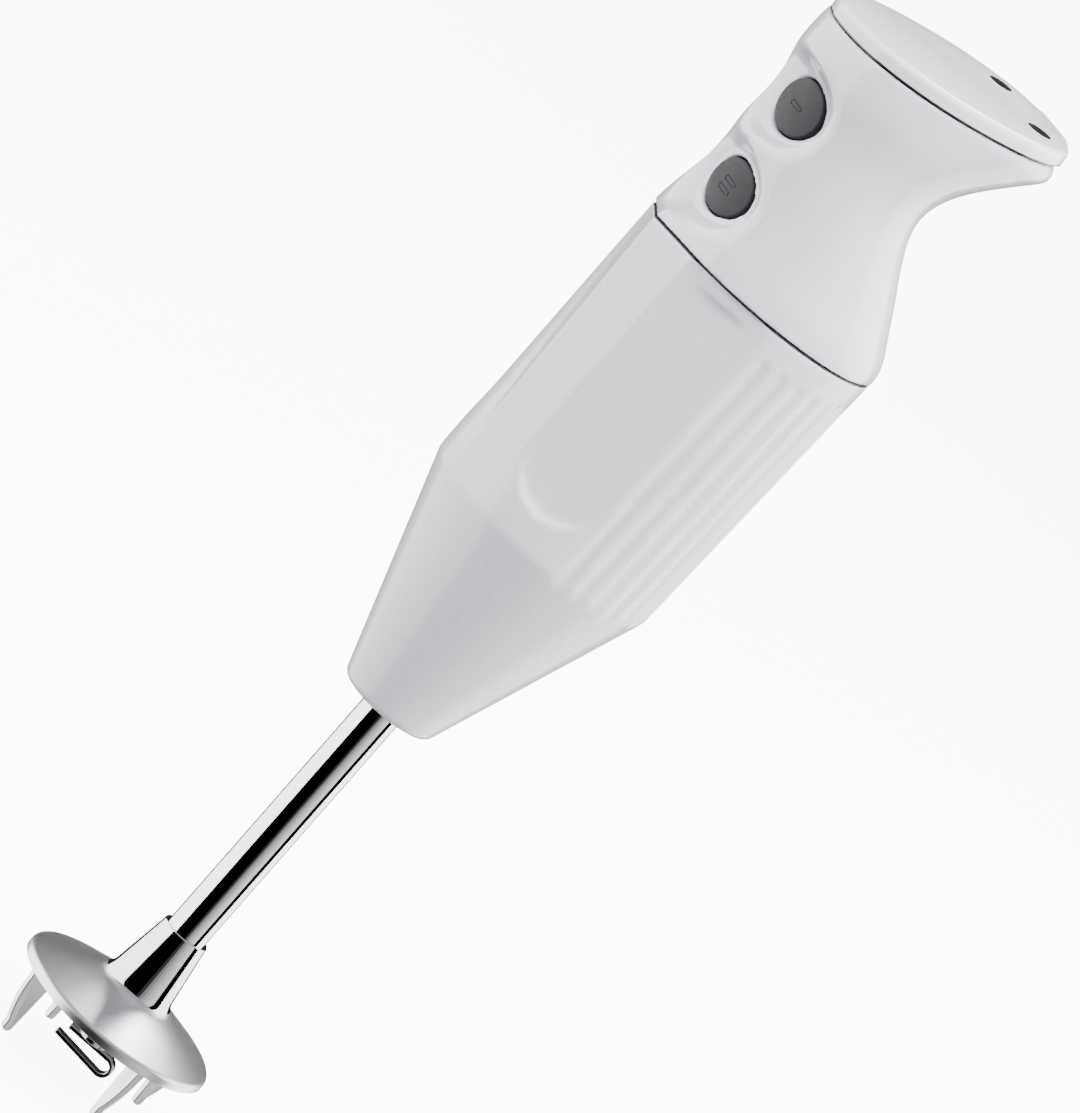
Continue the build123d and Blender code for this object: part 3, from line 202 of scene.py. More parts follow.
class Paintshop:
    """Makes each finish's material once and hands it out."""

    # The colour of the painted shade in seam lines and recesses.
    SHADOW = (0.035, 0.035, 0.04, 1.0)

    @staticmethod
    def _maths(made: bpy.types.Material, kind: str, *values: object) -> bpy.types.NodeSocket:
        """Adds one Math node.

        Args:
            made: the material.
            kind: the operation.
            values: its inputs, each a number or a socket.

        Returns:
            The node's output.
        """
        node = made.node_tree.nodes.new("ShaderNodeMath")
        node.operation = kind
        for slot, value in zip(node.inputs, values):
            if isinstance(value, bpy.types.NodeSocket):
                made.node_tree.links.new(value, slot)
            else:
                slot.default_value = value
        return node.outputs[0]

    def _axes(self, made: bpy.types.Material, where: bpy.types.Node) -> list[bpy.types.NodeSocket]:
        """Splits the Object coordinates.

        Args:
            made: the material.
            where: its Texture Coordinate node.

        Returns:
            The x, y and z sockets.
        """
        split = made.node_tree.nodes.new("ShaderNodeSeparateXYZ")
        made.node_tree.links.new(where.outputs["Object"], split.inputs[0])
        return list(split.outputs)

    def _seam(
        self, made: bpy.types.Material, where: bpy.types.Node, level: float, slope: float, half: float
    ) -> bpy.types.NodeSocket:
        """Masks a parting line, which may slope along y.

        Args:
            made: the material.
            where: its Texture Coordinate node.
            level: its height where y is 0, in metres.
            slope: its rise along y.
            half: half its width, in metres.

        Returns:
            A value that is 1 inside the line.
        """
        _, y, z = self._axes(made, where)
        tilted = self._maths(made, "MULTIPLY", y, slope)
        height = self._maths(made, "SUBTRACT", z, tilted)
        offset = self._maths(made, "ABSOLUTE", self._maths(made, "SUBTRACT", height, level))
        return self._maths(made, "LESS_THAN", offset, half)

    def _well(
        self, made: bpy.types.Material, where: bpy.types.Node, x: float, y: float, radius: float
    ) -> bpy.types.NodeSocket:
        """Masks a round recess along z.

        Args:
            made: the material.
            where: its Texture Coordinate node.
            x: its centre's x, in metres.
            y: its centre's y, in metres.
            radius: its radius, in metres.

        Returns:
            A value that is 1 inside the recess.
        """
        across, along, _ = self._axes(made, where)
        squares = []
        for place, centre in ((across, x), (along, y)):
            offset = self._maths(made, "SUBTRACT", place, centre)
            squares.append(self._maths(made, "MULTIPLY", offset, offset))
        dx, dy = squares
        return self._maths(made, "LESS_THAN", self._maths(made, "ADD", dx, dy), radius * radius)

    def _satin(
        self, made: bpy.types.Material, where: bpy.types.Node, gloss: bpy.types.NodeSocket, radius: float
    ) -> bpy.types.NodeSocket:
        """Raises the roughness away from the wand's axis, where the bell is only brushed.

        Args:
            made: the material.
            where: its Texture Coordinate node.
            gloss: the polished roughness.
            radius: where the brushed part starts, in metres.

        Returns:
            The roughness over the whole piece.
        """
        x, y, _ = self._axes(made, where)
        squares = [self._maths(made, "MULTIPLY", axis, axis) for axis in (x, y)]
        square = self._maths(made, "ADD", *squares)
        beyond = self._maths(made, "GREATER_THAN", square, radius * radius)
        return self._maths(made, "ADD", gloss, self._maths(made, "MULTIPLY", beyond, SATIN_GAIN))

    def _painted_shade(
        self,
        made: bpy.types.Material,
        colour: bpy.types.NodeSocket,
        mask: bpy.types.NodeSocket,
    ) -> bpy.types.NodeSocket:
        """Paints shade into a colour in a narrow gap or recess.

        Args:
            made: the material.
            colour: the colour before the painted shade.
            mask: 1 where shade is painted.

        Returns:
            The mixed colour.
        """
        mix = made.node_tree.nodes.new("ShaderNodeMix")
        mix.data_type = "RGBA"
        mix.inputs["B"].default_value = self.SHADOW
        made.node_tree.links.new(mask, mix.inputs["Factor"])
        made.node_tree.links.new(colour, mix.inputs["A"])
        return mix.outputs["Result"]

    def __init__(self) -> None:
        """Starts with the shared groups and no materials."""
        self.groups = GroupLibrary()
        self.made: dict[str, bpy.types.Material] = {}

    def material(self, finish: Finish) -> bpy.types.Material:
        """Makes or finds the material of a finish.

        Args:
            finish: the finish wanted.

        Returns:
            Its material.
        """
        if finish.name in self.made:
            return self.made[finish.name]
        made = bpy.data.materials.new(finish.name)
        made.use_nodes = True
        nodes, links = made.node_tree.nodes, made.node_tree.links
        shader = nodes["Principled BSDF"]
        shader.inputs["Metallic"].default_value = finish.metallic
        shader.inputs["IOR"].default_value = finish.ior
        shader.inputs["Coat Weight"].default_value = finish.coat
        shader.inputs["Coat Roughness"].default_value = COAT_ROUGHNESS
        where = nodes.new("ShaderNodeTexCoord")
        turn = nodes.new("ShaderNodeMapping")
        turn.inputs["Scale"].default_value = finish.stretch
        links.new(where.outputs["Object"], turn.inputs["Vector"])
        mottle = nodes.new("ShaderNodeGroup")
        mottle.node_tree = self.groups.mottle
        mottle.inputs["Colour"].default_value = (*finish.colour, 1.0)
        mottle.inputs["Shade"].default_value = (*[c * (1.0 - finish.mottle) for c in finish.colour], 1.0)
        mottle.inputs["Roughness Low"].default_value = finish.roughness * 0.85
        mottle.inputs["Roughness High"].default_value = finish.roughness * 1.2
        links.new(turn.outputs["Vector"], mottle.inputs["Vector"])
        colour = mottle.outputs["Colour"]
        # Painted shade: a dark line along each parting seam.
        for level, slope, half in finish.seam_shade:
            colour = self._painted_shade(made, colour, self._seam(made, where, level, slope, half))
        # Painted shade: the insides of the screw recesses darkened.
        for x, y, radius in finish.well_shade:
            colour = self._painted_shade(made, colour, self._well(made, where, x, y, radius))
        links.new(colour, shader.inputs["Base Color"])
        gloss = mottle.outputs["Roughness"]
        if finish.satin_beyond > 0.0:
            gloss = self._satin(made, where, gloss, finish.satin_beyond)
        links.new(gloss, shader.inputs["Roughness"])
        relief = nodes.new("ShaderNodeGroup")
        relief.node_tree = self.groups.relief
        relief.inputs["Scale"].default_value = finish.grain_scale
        bump = nodes.new("ShaderNodeBump")
        bump.inputs["Strength"].default_value = finish.relief
        bump.inputs["Distance"].default_value = GRAIN_DEPTH
        links.new(turn.outputs["Vector"], relief.inputs["Vector"])
        links.new(relief.outputs["Height"], bump.inputs["Height"])
        links.new(bump.outputs["Normal"], shader.inputs["Normal"])
        self.made[finish.name] = made
        return made


SEAM_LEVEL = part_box("handle_housing")[0][2]
LID_SLOPE = math.tan(LID_TILT)
LID_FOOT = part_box("top_lid")[0][2] - LID_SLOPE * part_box("top_lid")[0][1]
# Each seam entry paints shade as a dark line over the real parting gap; the lid's wells paint shade inside its
# screw recesses.
WHITE_BODY = Finish(
    "cool_white_body", (0.76, 0.76, 0.82), 0.26, coat=0.25, relief=0.03, seam_shade=((SEAM_LEVEL, 0.0, 0.5 * MM),)
)
WHITE_HEAD = Finish(
    "cool_white_head", (0.76, 0.76, 0.82), 0.2, coat=0.45, relief=0.02,
    seam_shade=((SEAM_LEVEL, 0.0, 0.4 * MM), (LID_FOOT, LID_SLOPE, 0.5 * MM)),
)
WHITE_LID = Finish(
    "cool_white_lid", (0.84, 0.845, 0.89), 0.16, coat=0.5, relief=0.02,
    seam_shade=((LID_FOOT, LID_SLOPE, 0.35 * MM),),
    well_shade=tuple((side * LID_SCREW[0], LID_SCREW[1], RECESS_RADIUS) for side in (1, -1)),
)
BUTTON_GREY = Finish(
    "satin_button_grey", (0.018, 0.019, 0.021), 0.5, grain_scale=1500.0, relief=0.12, mottle=0.25, ior=1.22,
)
CHROME = Finish("mirror_chrome", (0.80, 0.80, 0.82), 0.045, metallic=1.0, relief=0.0, mottle=0.03)
BELL_STEEL = Finish(
    "brushed_bell", (0.74, 0.74, 0.77), 0.06, metallic=1.0, relief=0.03, grain_scale=1800.0, mottle=0.05,
    satin_beyond=BRUSHED_FROM,
)
TOOL_STEEL = Finish(
    "polished_tool_steel", (0.55, 0.55, 0.57), 0.18, metallic=1.0, grain_scale=600.0, relief=0.05
)
SCREW_STEEL = Finish("zinc_screw", (0.36, 0.36, 0.38), 0.3, metallic=1.0, relief=0.06)
SHAFT_STEEL = Finish(
    "ground_shaft", (0.5, 0.5, 0.52), 0.22, metallic=1.0, relief=0.05, stretch=(1, 1, 8)
)
ALUMINIUM = Finish("cast_aluminium", (0.56, 0.57, 0.59), 0.42, metallic=1.0, relief=0.15, mottle=0.1)
LAMINATION = Finish(
    "stacked_sheet", (0.16, 0.16, 0.18), 0.5, metallic=0.8, relief=0.3, grain_scale=300.0, stretch=(0.2, 0.2, 9)
)
COPPER_WIRE = Finish(
    "enamelled_wire", (0.50, 0.17, 0.06), 0.3, metallic=0.7, relief=0.5, grain_scale=500.0, stretch=(1, 1, 5)
)
COPPER = Finish("turned_copper", (0.72, 0.32, 0.17), 0.25, metallic=1.0, relief=0.08, stretch=(1, 1, 8))
CARBON = Finish("pressed_carbon", (0.02, 0.02, 0.021), 0.65, relief=0.2, mottle=0.3)
BRONZE = Finish("sintered_bronze", (0.42, 0.24, 0.10), 0.45, metallic=0.9, relief=0.25, grain_scale=2200.0)
RUBBER = Finish("black_rubber", (0.022, 0.022, 0.024), 0.6, relief=0.1, mottle=0.2)
DARK_PLASTIC = Finish("dark_moulding", (0.06, 0.06, 0.065), 0.45, relief=0.12, mottle=0.15)
BOARD_GREEN = Finish("board_green", (0.02, 0.11, 0.045), 0.35, coat=0.2, relief=0.1, mottle=0.3)
CAPACITOR = Finish("cast_capacitor", (0.45, 0.31, 0.05), 0.4, relief=0.05, mottle=0.1)

CAD_FINISHES: dict[Finish, tuple[str, ...]] = {
    SCREW_STEEL: ("housing_screws", "motor_screws", "wand_flange_screws"),
    DARK_PLASTIC: ("switch_carrier", "switch_block_low", "switch_block_high", "terminal_block", "drive_coupling"),
    BOARD_GREEN: ("speed_board",),
    CAPACITOR: ("suppression_capacitor",),
    LAMINATION: ("stator_core", "rotor_core"),
    COPPER_WIRE: ("stator_coils", "rotor_windings"),
    COPPER: ("commutator",),
    CARBON: ("carbon_brushes",),
    ALUMINIUM: ("brush_holders", "lower_bridge", "upper_bridge", "wand_flange"),
    SHAFT_STEEL: ("lower_bearing", "upper_bearing", "motor_shaft", "drive_pin"),
    BRONZE: ("upper_shaft_bush", "lower_shaft_bush"),
    RUBBER: ("shaft_seal",),
}


def link(mesh: bpy.types.Mesh, name: str, material: bpy.types.Material) -> bpy.types.Object:
    """Puts a finished mesh in the scene as a piece.

    Args:
        mesh: its mesh, already in place.
        name: the piece's name.
        material: its only material.

    Returns:
        The new object.
    """
    piece = bpy.data.objects.new(name, mesh)
    mesh.materials.clear()
    mesh.materials.append(material)
    bpy.context.scene.collection.objects.link(piece)
    return piece


def stand_in(piece: bpy.types.Object, node: str) -> None:
    """Lets a piece take the place and body of one CAD node.

    Args:
        piece: the new piece.
        node: the CAD node it stands for.
    """
    record = frame["record"]
    body = next(name for name, nodes in record["behaviour"]["bodies"].items() if node in nodes)
    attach(piece, body)
    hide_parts(node)
    log.info("%s stands for %s on %s", piece.name, node, body)


def merged_copy(node: str) -> bmesh.types.BMesh:
    """Copies a CAD node's triangles and joins them.

    Args:
        node: the CAD node.

    Returns:
        A new bmesh of its surface.
    """
    bm = bmesh.new()
    bm.from_mesh(frame["nodes"][node].data)
    bmesh.ops.remove_doubles(bm, verts=bm.verts, dist=MERGE)
    return bm


def creased(bm: bmesh.types.BMesh, angle: float) -> None:
    """Shades a surface smooth except over edges sharper than an angle.

    Args:
        bm: the surface.
        angle: the sharpest smooth edge, in radians.
    """
    for face in bm.faces:
        face.smooth = True
    for edge in bm.edges:
        edge.smooth = len(edge.link_faces) == 2 and edge.calc_face_angle(0.0) < angle


def settled(bm: bmesh.types.BMesh, name: str, modifiers: list[tuple[str, dict]]) -> bpy.types.Mesh:
    """Runs modifiers over a surface and keeps the result.

    Args:
        bm: the surface, which is freed.
        name: the new mesh's name.
        modifiers: their types and settings, in order.

    Returns:
        The finished mesh.
    """
    rough = bpy.data.meshes.new(name + "_rough")
    bm.to_mesh(rough)
    bm.free()
    holder = bpy.data.objects.new(name + "_rough", rough)
    bpy.context.scene.collection.objects.link(holder)
    for kind, settings in modifiers:
        modifier = holder.modifiers.new(kind.lower(), kind)
        for key, value in settings.items():
            setattr(modifier, key, value)
    view = bpy.context.evaluated_depsgraph_get()
    mesh = bpy.data.meshes.new_from_object(holder.evaluated_get(view), depsgraph=view)
    mesh.name = name
    bpy.data.objects.remove(holder)
    bpy.data.meshes.remove(rough)
    return mesh


@dataclass
class MouldedShell:
    """A moulded housing whose edges are all a little rounded, as they leave the tool."""

    node: str
    name: str
    finish: Finish
    voxel: float = 0.6 * MM
    passes: int = 8

    def build(self, shop: Paintshop) -> bpy.types.Object:
        """Makes the shell from its CAD solid.

        Args:
            shop: where its material comes from.

        Returns:
            The piece.
        """
        bm = merged_copy(self.node)
        mesh = settled(
            bm,
            self.name,
            [
                ("REMESH", {"mode": "VOXEL", "voxel_size": self.voxel, "use_smooth_shade": True}),
                ("SMOOTH", {"factor": 0.5, "iterations": self.passes}),
            ],
        )
        soft = bmesh.new()
        soft.from_mesh(mesh)
        self.refine(soft)
        for face in soft.faces:
            face.smooth = True
        soft.to_mesh(mesh)
        soft.free()
        piece = link(mesh, self.name, shop.material(self.finish))
        stand_in(piece, self.node)
        log.info("%s has %d faces", self.name, len(mesh.polygons))
        return piece

    def refine(self, bm: bmesh.types.BMesh) -> None:
        """Leaves a plain shell as it is."""


@dataclass
class GripShell(MouldedShell):
    """The handle housing, whose finger dishes roll over into the grip with wide soft rims."""

    dish_half: tuple[float, float, float] = (34.0 * MM, 12.0 * MM, 12.5 * MM)
    dish_centre: float = -34.5 * MM
    wall_back: float = -18.0 * MM
    hole_edge: tuple[float, float] = (12.3 * MM, 8.7 * MM)
    hole_reach: float = 0.5
    ray_start: float = -80.0 * MM
    hole_half: tuple[float, float] = (13.6 * MM, 9.8 * MM)
    rim_back: float = -15.0 * MM
    rim_height: float = 58.0 * MM
    roll_passes: int = 30
    button_heights: list[float] = field(default_factory=list)

    def press_dish(self, bm: bmesh.types.BMesh, height: float) -> None:
        """Presses the wall inwards to one finger dish, keeping its thickness.

        Args:
            bm: the shell.
            height: the dish's centre, in metres.
        """
        tree = BVHTree.FromBMesh(bm)
        wide, deep, tall = self.dish_half
        for vert in bm.verts:
            x, y, z = vert.co
            if y > self.wall_back:
                continue
            across, up = x, z - height
            inside = math.hypot(across / self.hole_edge[0], up / self.hole_edge[1])
            if inside < 1.0:
                outward = 1.0 / max(inside, self.hole_reach)
                across, up = across * outward, up * outward
            spread = (across / wide) ** 2 + (up / tall) ** 2
            if spread >= 1.0:
                continue
            hit = tree.ray_cast(Vector((across, self.ray_start, height + up)), Vector((0, 1, 0)))[0]
            if hit is None or hit.y > self.wall_back:
                continue
            vert.co.y += max(0.0, self.dish_centre + deep * math.sqrt(1.0 - spread) - hit.y)
        bm.normal_update()

    def refine(self, bm: bmesh.types.BMesh) -> None:
        """Rolls the rims of the finger dishes, and leaves the button holes crisp.

        Args:
            bm: the shell.
        """
        self.press_dish(bm, min(self.button_heights))
        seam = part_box("motor_housing")[1][2]
        rims = []
        for vert in bm.verts:
            x, y, z = vert.co
            if y > self.rim_back or z < seam or z > seam + self.rim_height:
                continue
            near_hole = any(
                (x / self.hole_half[0]) ** 2 + ((z - height) / self.hole_half[1]) ** 2 < 1.0
                for height in self.button_heights
            )
            if not near_hole and vert.normal.y < 0.0:
                rims.append(vert)
        for _ in range(self.roll_passes):
            bmesh.ops.smooth_vert(
                bm, verts=rims, factor=0.5, use_axis_x=True, use_axis_y=True, use_axis_z=True
            )


@dataclass
class CrispPiece:
    """A small piece that keeps its CAD shape, with joined faces and even shading."""

    node: str
    name: str
    finish: Finish
    angle: float = 32.0

    def build(self, shop: Paintshop) -> bpy.types.Object:
        """Makes the piece.

        Args:
            shop: where its material comes from.

        Returns:
            The piece.
        """
        bm = merged_copy(self.node)
        creased(bm, math.radians(self.angle))
        mesh = bpy.data.meshes.new(self.name)
        bm.to_mesh(mesh)
        bm.free()
        piece = link(mesh, self.name, shop.material(self.finish))
        stand_in(piece, self.node)
        return piece


@dataclass
class SpunPiece:
    """A turned piece: a closed outline of radius and height, spun round the wand's axis."""

    node: str
    name: str
    finish: Finish
    outline: list[tuple[float, float]]
    steps: int = 160

    def surface(self) -> bmesh.types.BMesh:
        """Spins the outline.

        Returns:
            The closed surface of the turned part.
        """
        bm = bmesh.new()
        verts = [bm.verts.new((radius * MM, 0.0, height * MM)) for radius, height in self.outline]
        edges = [bm.edges.new((verts[i], verts[(i + 1) % len(verts)])) for i in range(len(verts))]
        bmesh.ops.spin(
            bm, geom=verts + edges, cent=(0, 0, 0), axis=(0, 0, 1), dvec=(0, 0, 0),
            angle=math.tau, steps=self.steps, use_merge=True,
        )
        bmesh.ops.remove_doubles(bm, verts=bm.verts, dist=MERGE)
        bmesh.ops.recalc_face_normals(bm, faces=bm.faces)
        return bm

    def extras(self, bm: bmesh.types.BMesh) -> None:
        """Adds nothing to a plain turned part."""

    def build(self, shop: Paintshop) -> bpy.types.Object:
        """Makes the piece.

        Args:
            shop: where its material comes from.

        Returns:
            The piece.
        """
        bm = self.surface()
        self.extras(bm)
        creased(bm, math.radians(30))
        mesh = bpy.data.meshes.new(self.name)
        bm.to_mesh(mesh)
        bm.free()
        piece = link(mesh, self.name, shop.material(self.finish))
        stand_in(piece, self.node)
        return piece


def arc(
    centre: tuple[float, float], radius: float, start: float, end: float, count: int
) -> list[tuple[float, float]]:
    """Places points along an arc in the plane of radius and height.

    Args:
        centre: its centre.
        radius: its radius.
        start: the first angle, in degrees.
        end: the last angle, in degrees.
        count: how many steps it takes.

    Returns:
        The points, both ends among them.
    """
    points = []
    for index in range(count + 1):
        turn = math.radians(start + (end - start) * index / count)
        points.append((centre[0] + radius * math.cos(turn), centre[1] + radius * math.sin(turn)))
    return points


@dataclass
class BellGuard(SpunPiece):
    """The polished bell with its four fins."""

    rim: float = 28.5
    fin_outer: float = 27.1
    fin_depth: float = 6.8
    fin_length: float = 18.0
    fin_thickness: float = 2.2
    tip: float = 2.8

    def extras(self, bm: bmesh.types.BMesh) -> None:
        """Adds the four fins, each a plate with rounded edges and a tapering tip.

        Args:
            bm: the bell.
        """
        inner = self.fin_outer - self.fin_depth
        top = 2.2 + (self.rim - self.fin_outer) * 0.3757 - 1.0
        top_inner = 2.2 + (self.rim - inner) * 0.3757 - 1.0
        outline = [(self.fin_outer, top), (self.fin_outer, 0.0)]
        for index in range(1, 9):
            share = index / 9
            bulge = self.fin_outer - 0.2 - 4.1 * share**2.1
            outline.append((bulge, -self.fin_length * 0.93 * share))
        outline += arc((inner + 0.6 + self.tip / 2, -self.fin_length + 1.35), 1.35, -10, -170, 8)
        outline += [(inner, -1.0), (inner, top_inner)]
        for turn in range(4):
            fin = bmesh.new()
            half = self.fin_thickness / 2 * MM
            verts = [fin.verts.new((radius * MM, -half, height * MM)) for radius, height in outline]
            face = fin.faces.new(verts)
            grown = bmesh.ops.extrude_face_region(fin, geom=[face])
            moved = [item for item in grown["geom"] if isinstance(item, bmesh.types.BMVert)]
            bmesh.ops.translate(fin, vec=(0, 2 * half, 0), verts=moved)
            bmesh.ops.recalc_face_normals(fin, faces=fin.faces)
            rims = [
                edge for edge in fin.edges
                if abs(edge.verts[0].co.y - edge.verts[1].co.y) < 1e-9
                and max(vert.co.z for vert in edge.verts) < 1.0 * MM
            ]
            bmesh.ops.bevel(
                fin, geom=rims, offset=0.45 * MM, offset_type="OFFSET", affect="EDGES", segments=3,
                profile=0.5, material=-1,
            )
            quarter = Matrix.Rotation(turn * math.pi / 2, 3, "Z")
            bmesh.ops.rotate(fin, cent=(0, 0, 0), matrix=quarter, verts=fin.verts)
            holder = bpy.data.meshes.new("fin")
            fin.to_mesh(holder)
            fin.free()
            bm.from_mesh(holder)
            bpy.data.meshes.remove(holder)


def bell_outline() -> list[tuple[float, float]]:
    """Draws the bell's section, from the bore at the collar's top round the outside and back inside.

    Returns:
        The points of radius and height, in millimetres.
    """
    points = [(5.6, 28.6), (6.2, 28.6)]
    points += arc((6.25, 28.15), 0.45, 90, 0, 5)
    points += [(6.78, 27.4), (9.05, 12.4)]
    points += [(9.3, 11.2), (9.75, 10.2), (10.5, 9.35), (11.6, 8.72), (13.0, 8.1)]
    points += [(18.0, 6.15), (27.2, 2.72)]
    points += [(27.9, 2.4), (28.33, 1.95), (28.5, 1.4), (28.5, 0.12), (28.42, 0.0)]
    points += [(26.8, 0.0), (26.7, 0.1), (26.7, 0.95), (7.8, 8.05), (7.0, 8.05), (7.0, 4.4), (6.6, 4.0)]
    points += [(2.8, 4.0), (2.8, 5.2), (4.6, 5.2), (4.6, 8.8), (5.6, 8.8)]
    return points


class Studio:
    """Camera, floor, lamps and the dark and bright panels that polished metal mirrors."""

    AZIMUTH = 56.0
    ELEVATION = 12.0
    DISTANCE = 1.7
    LEAN = 41.3
    LENS = 223.0
    AIM = (0.00241, 0.00357, 0.1606)
    FLOOR_GLOW = 9.0
    WALL = 2.6
    NEAR_WALL = 2.3
    GREY_STEPS = 6
    GREY_WIDTH = 10.5

    def _away(self, azimuth: float, elevation: float, distance: float) -> Vector:
        """Finds a point round the object.

        Args:
            azimuth: degrees round from the front.
            elevation: degrees above level.
            distance: metres from the point aimed at.

        Returns:
            The point.
        """
        a, e = math.radians(azimuth), math.radians(elevation)
        direction = Vector((math.sin(a) * math.cos(e), -math.cos(a) * math.cos(e), math.sin(e)))
        return Vector(self.AIM) + direction * distance

    def camera(self) -> None:
        """Sets up the camera."""
        data = bpy.data.cameras.new("camera")
        data.sensor_fit = "VERTICAL"
        data.sensor_height = 36.0
        data.lens = self.LENS
        data.clip_end = 100.0
        camera = bpy.data.objects.new("camera", data)
        bpy.context.scene.collection.objects.link(camera)
        spot = self._away(self.AZIMUTH, self.ELEVATION, self.DISTANCE)
        forward = (Vector(self.AIM) - spot).normalized()
        right = forward.cross(Vector((0, 0, 1))).normalized()
        upward = right.cross(forward)
        lean = math.radians(self.LEAN)
        tilted_up = upward * math.cos(lean) - right * math.sin(lean)
        tilted_right = right * math.cos(lean) + upward * math.sin(lean)
        turn = Matrix((tilted_right, tilted_up, -forward)).transposed()
        camera.matrix_world = Matrix.Translation(spot) @ turn.to_4x4()
        bpy.context.scene.camera = camera

    def lamp(
        self, name: str, azimuth: float, elevation: float, size: float, power: float, distance: float = 1.3
    ) -> None:
        """Hangs one soft lamp, aimed at the object.

        Args:
            name: its name.
            azimuth: where it hangs, from the camera's, in degrees.
            elevation: how high it hangs, in degrees.
            size: its shorter side, in metres.
            power: its power, in watts.
            distance: how far it hangs from the object.
        """
        data = bpy.data.lights.new(name, "AREA")
        data.shape = "RECTANGLE"
        data.size = size
        data.size_y = size * 1.6
        data.energy = power
        lamp = bpy.data.objects.new(name, data)
        bpy.context.scene.collection.objects.link(lamp)
        lamp.visible_glossy = False
        spot = self._away(self.AZIMUTH + azimuth, elevation, distance)
        lamp.location = spot
        lamp.rotation_euler = (Vector(self.AIM) - spot).to_track_quat("-Z", "Y").to_euler()

    def panel(
        self, name: str, start: float, end: float, low: float, high: float, tone: float, radius: float = 2.4
    ) -> None:
        """Stands a curved panel round the object that only mirrors see.

        Args:
            name: its name.
            start: azimuth of one side, from the camera's, in degrees.
            end: azimuth of the other side.
            low: its lower edge, in metres.
            high: its upper edge.
            tone: how much light it gives.
            radius: its distance from the wand's axis, in metres.
        """
        bm = bmesh.new()
        count = 24
        columns = []
        for index in range(count + 1):
            turn = math.radians(self.AZIMUTH + start + (end - start) * index / count)
            x, y = radius * math.sin(turn), -radius * math.cos(turn)
            columns.append((bm.verts.new((x, y, low)), bm.verts.new((x, y, high))))
        for left, right in zip(columns, columns[1:]):
            bm.faces.new((left[0], right[0], right[1], left[1]))
        mesh = bpy.data.meshes.new(name)
        bm.to_mesh(mesh)
        bm.free()
        material = bpy.data.materials.new(name)
        material.use_nodes = True
        shader = material.node_tree.nodes["Principled BSDF"]
        shader.inputs["Base Color"].default_value = (0.0, 0.0, 0.0, 1.0)
        shader.inputs["Roughness"].default_value = 1.0
        shader.inputs["Specular IOR Level"].default_value = 0.0
        shader.inputs["Emission Color"].default_value = (1.0, 1.0, 1.0, 1.0)
        shader.inputs["Emission Strength"].default_value = tone
        panel = link(mesh, name, material)
        panel.visible_camera = False
        panel.visible_diffuse = False
        panel.visible_shadow = False
        panel.visible_transmission = False

    def floor(self) -> None:
        """Lays the pale floor half a millimetre below the object's lowest point."""
        bm = bmesh.new()
        bmesh.ops.create_grid(bm, x_segments=8, y_segments=8, size=40.0)
        bmesh.ops.translate(bm, vec=(0, 0, CAD_BOX[0][2] - 0.0005), verts=bm.verts)
        mesh = bpy.data.meshes.new("pale_floor")
        bm.to_mesh(mesh)
        bm.free()
        material = bpy.data.materials.new("pale_floor")
        material.use_nodes = True
        shader = material.node_tree.nodes["Principled BSDF"]
        shader.inputs["Base Color"].default_value = (0.9, 0.9, 0.9, 1.0)
        shader.inputs["Roughness"].default_value = 0.9
        shader.inputs["Emission Color"].default_value = (1.0, 1.0, 1.0, 1.0)
        shader.inputs["Emission Strength"].default_value = self.FLOOR_GLOW
        floor = link(mesh, "pale_floor", material)
        floor.visible_glossy = False
        floor.visible_diffuse = False

    def world(self) -> None:
        """Fills the room with a soft even light."""
        world = bpy.data.worlds.new("studio")
        world.use_nodes = True
        world.node_tree.nodes["Background"].inputs["Color"].default_value = (0.96, 0.97, 1.0, 1.0)
        world.node_tree.nodes["Background"].inputs["Strength"].default_value = 0.55
        bpy.context.scene.world = world

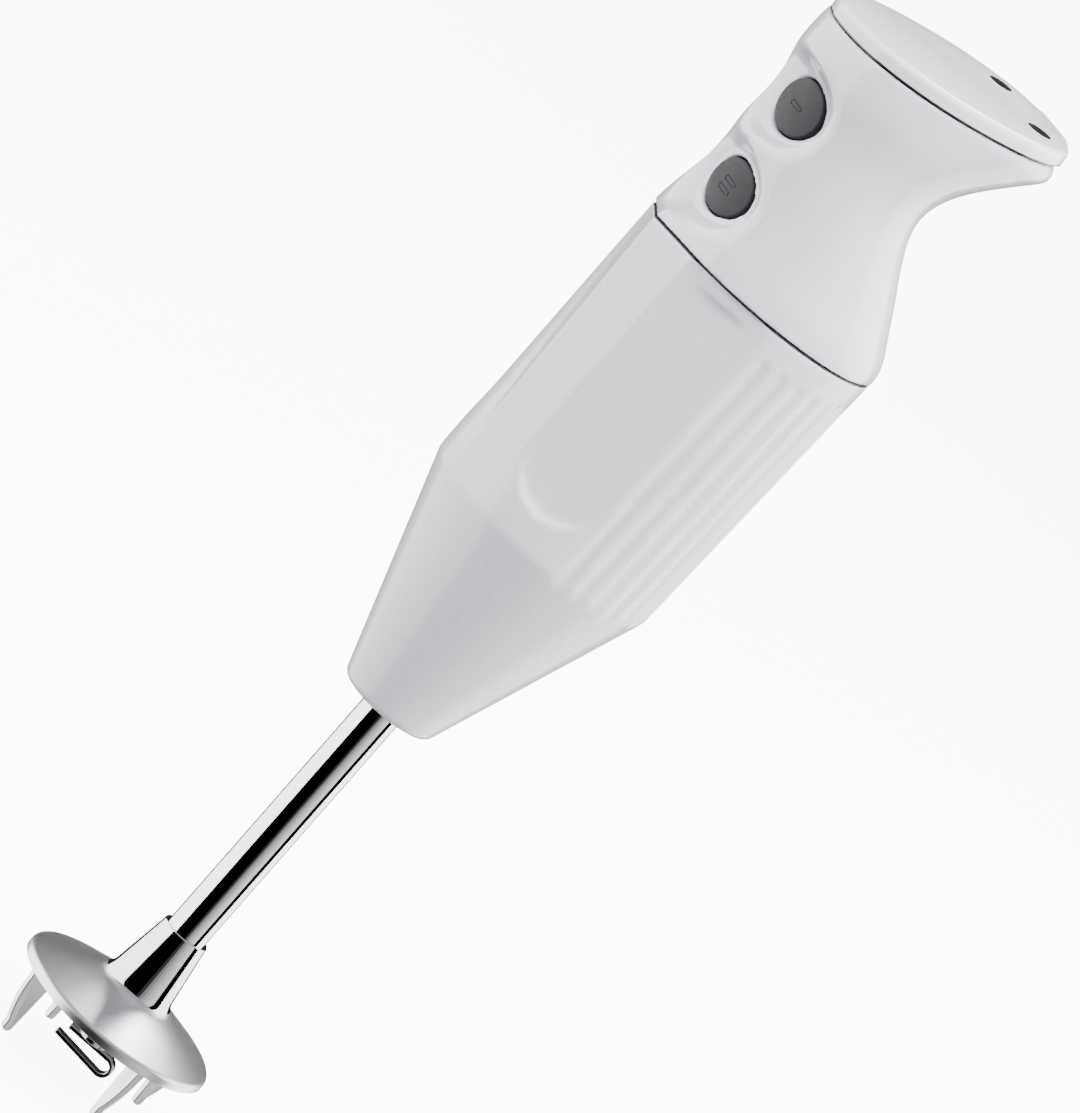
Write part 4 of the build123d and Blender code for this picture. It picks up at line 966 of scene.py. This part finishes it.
    def build(self) -> None:
        """Sets up the whole studio."""
        self.world()
        self.floor()
        self.camera()
        self.lamp("key_right", 74.0, 22.0, 0.9, 38.0)
        self.lamp("fill_left", -70.0, 14.0, 0.9, 30.0)
        self.lamp("top_soft", 40.0, 72.0, 1.2, 46.0)
        self.lamp("back_soft", 150.0, 40.0, 1.0, 30.0)
        low, high = -self.WALL, self.WALL
        self.panel("bright_left", -137.0, -47.0, low, high, Tone.WHITE.value)
        self.panel("dark_front", -47.0, 11.0, low, high, Tone.BLACK.value)
        for step in range(self.GREY_STEPS):
            start = 11.0 + self.GREY_WIDTH * step
            self.panel(f"grey_right_{step}", start, start + self.GREY_WIDTH, low, high, 0.05 + 0.28 * step)
        self.panel("dark_slit", 74.0, 97.0, low, high, Tone.BLACK.value)
        self.panel("bright_side", 97.0, 144.0, low, high, Tone.WHITE.value)
        self.panel("dark_back", 144.0, 223.0, low, 2 * high, Tone.ASH.value)
        self.panel("bell_glow", 160.0, 188.0, 1.9, 5.4, Tone.GLOW.value, self.NEAR_WALL)
        self.panel("bell_grey", 188.0, 200.0, 1.4, 4.2, Tone.GREY.value, self.NEAR_WALL)


class HandBlender:
    """The whole object, piece by piece."""

    def __init__(self) -> None:
        """Lists the pieces that are made anew."""
        low = sum(corner[2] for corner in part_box("button_low")) / 2
        high = sum(corner[2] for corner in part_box("button_high")) / 2
        tube_low, tube_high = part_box("wand_tube")
        bottom, top = tube_low[2] / MM, tube_high[2] / MM
        self.pieces = [
            MouldedShell("motor_housing", "motor_shell", WHITE_BODY, 0.92 * MM, 3),
            GripShell("handle_housing", "grip_shell", WHITE_HEAD, 0.65 * MM, 5, button_heights=[low, high]),
            CrispPiece("top_lid", "lid_cap", WHITE_LID, 40.0),
            BellGuard("blade_guard", "bell_guard", BELL_STEEL, bell_outline()),
            SpunPiece(
                "wand_tube", "wand_sleeve", CHROME, [(4.6, bottom), (5.6, bottom), (5.6, top), (4.6, top)]
            ),
            CrispPiece("button_low", "low_speed_button", BUTTON_GREY),
            CrispPiece("button_high", "high_speed_button", BUTTON_GREY),
            CrispPiece("tool_hub", "tool_socket", TOOL_STEEL),
            CrispPiece("tool_loop", "mixing_loop", TOOL_STEEL),
            CrispPiece("drive_shaft", "drive_spindle", SHAFT_STEEL),
            CrispPiece("cord_inlet_bush", "cord_grommet", RUBBER),
            CrispPiece("lid_screws", "lid_screw_pair", SCREW_STEEL),
        ]

    def build(self, shop: Paintshop) -> None:
        """Builds every new piece and dresses the CAD nodes that stay.

        Args:
            shop: where the materials come from.
        """
        for piece in self.pieces:
            piece.build(shop)
        for finish, nodes in CAD_FINISHES.items():
            for node in nodes:
                mesh = frame["nodes"][node].data
                mesh.materials.clear()
                mesh.materials.append(shop.material(finish))
                log.info("%s is dressed as %s", node, finish.name)


def main() -> None:
    """Builds the studio and the object."""
    Studio().build()
    HandBlender().build(Paintshop())


if __name__ == "__main__":
    main()
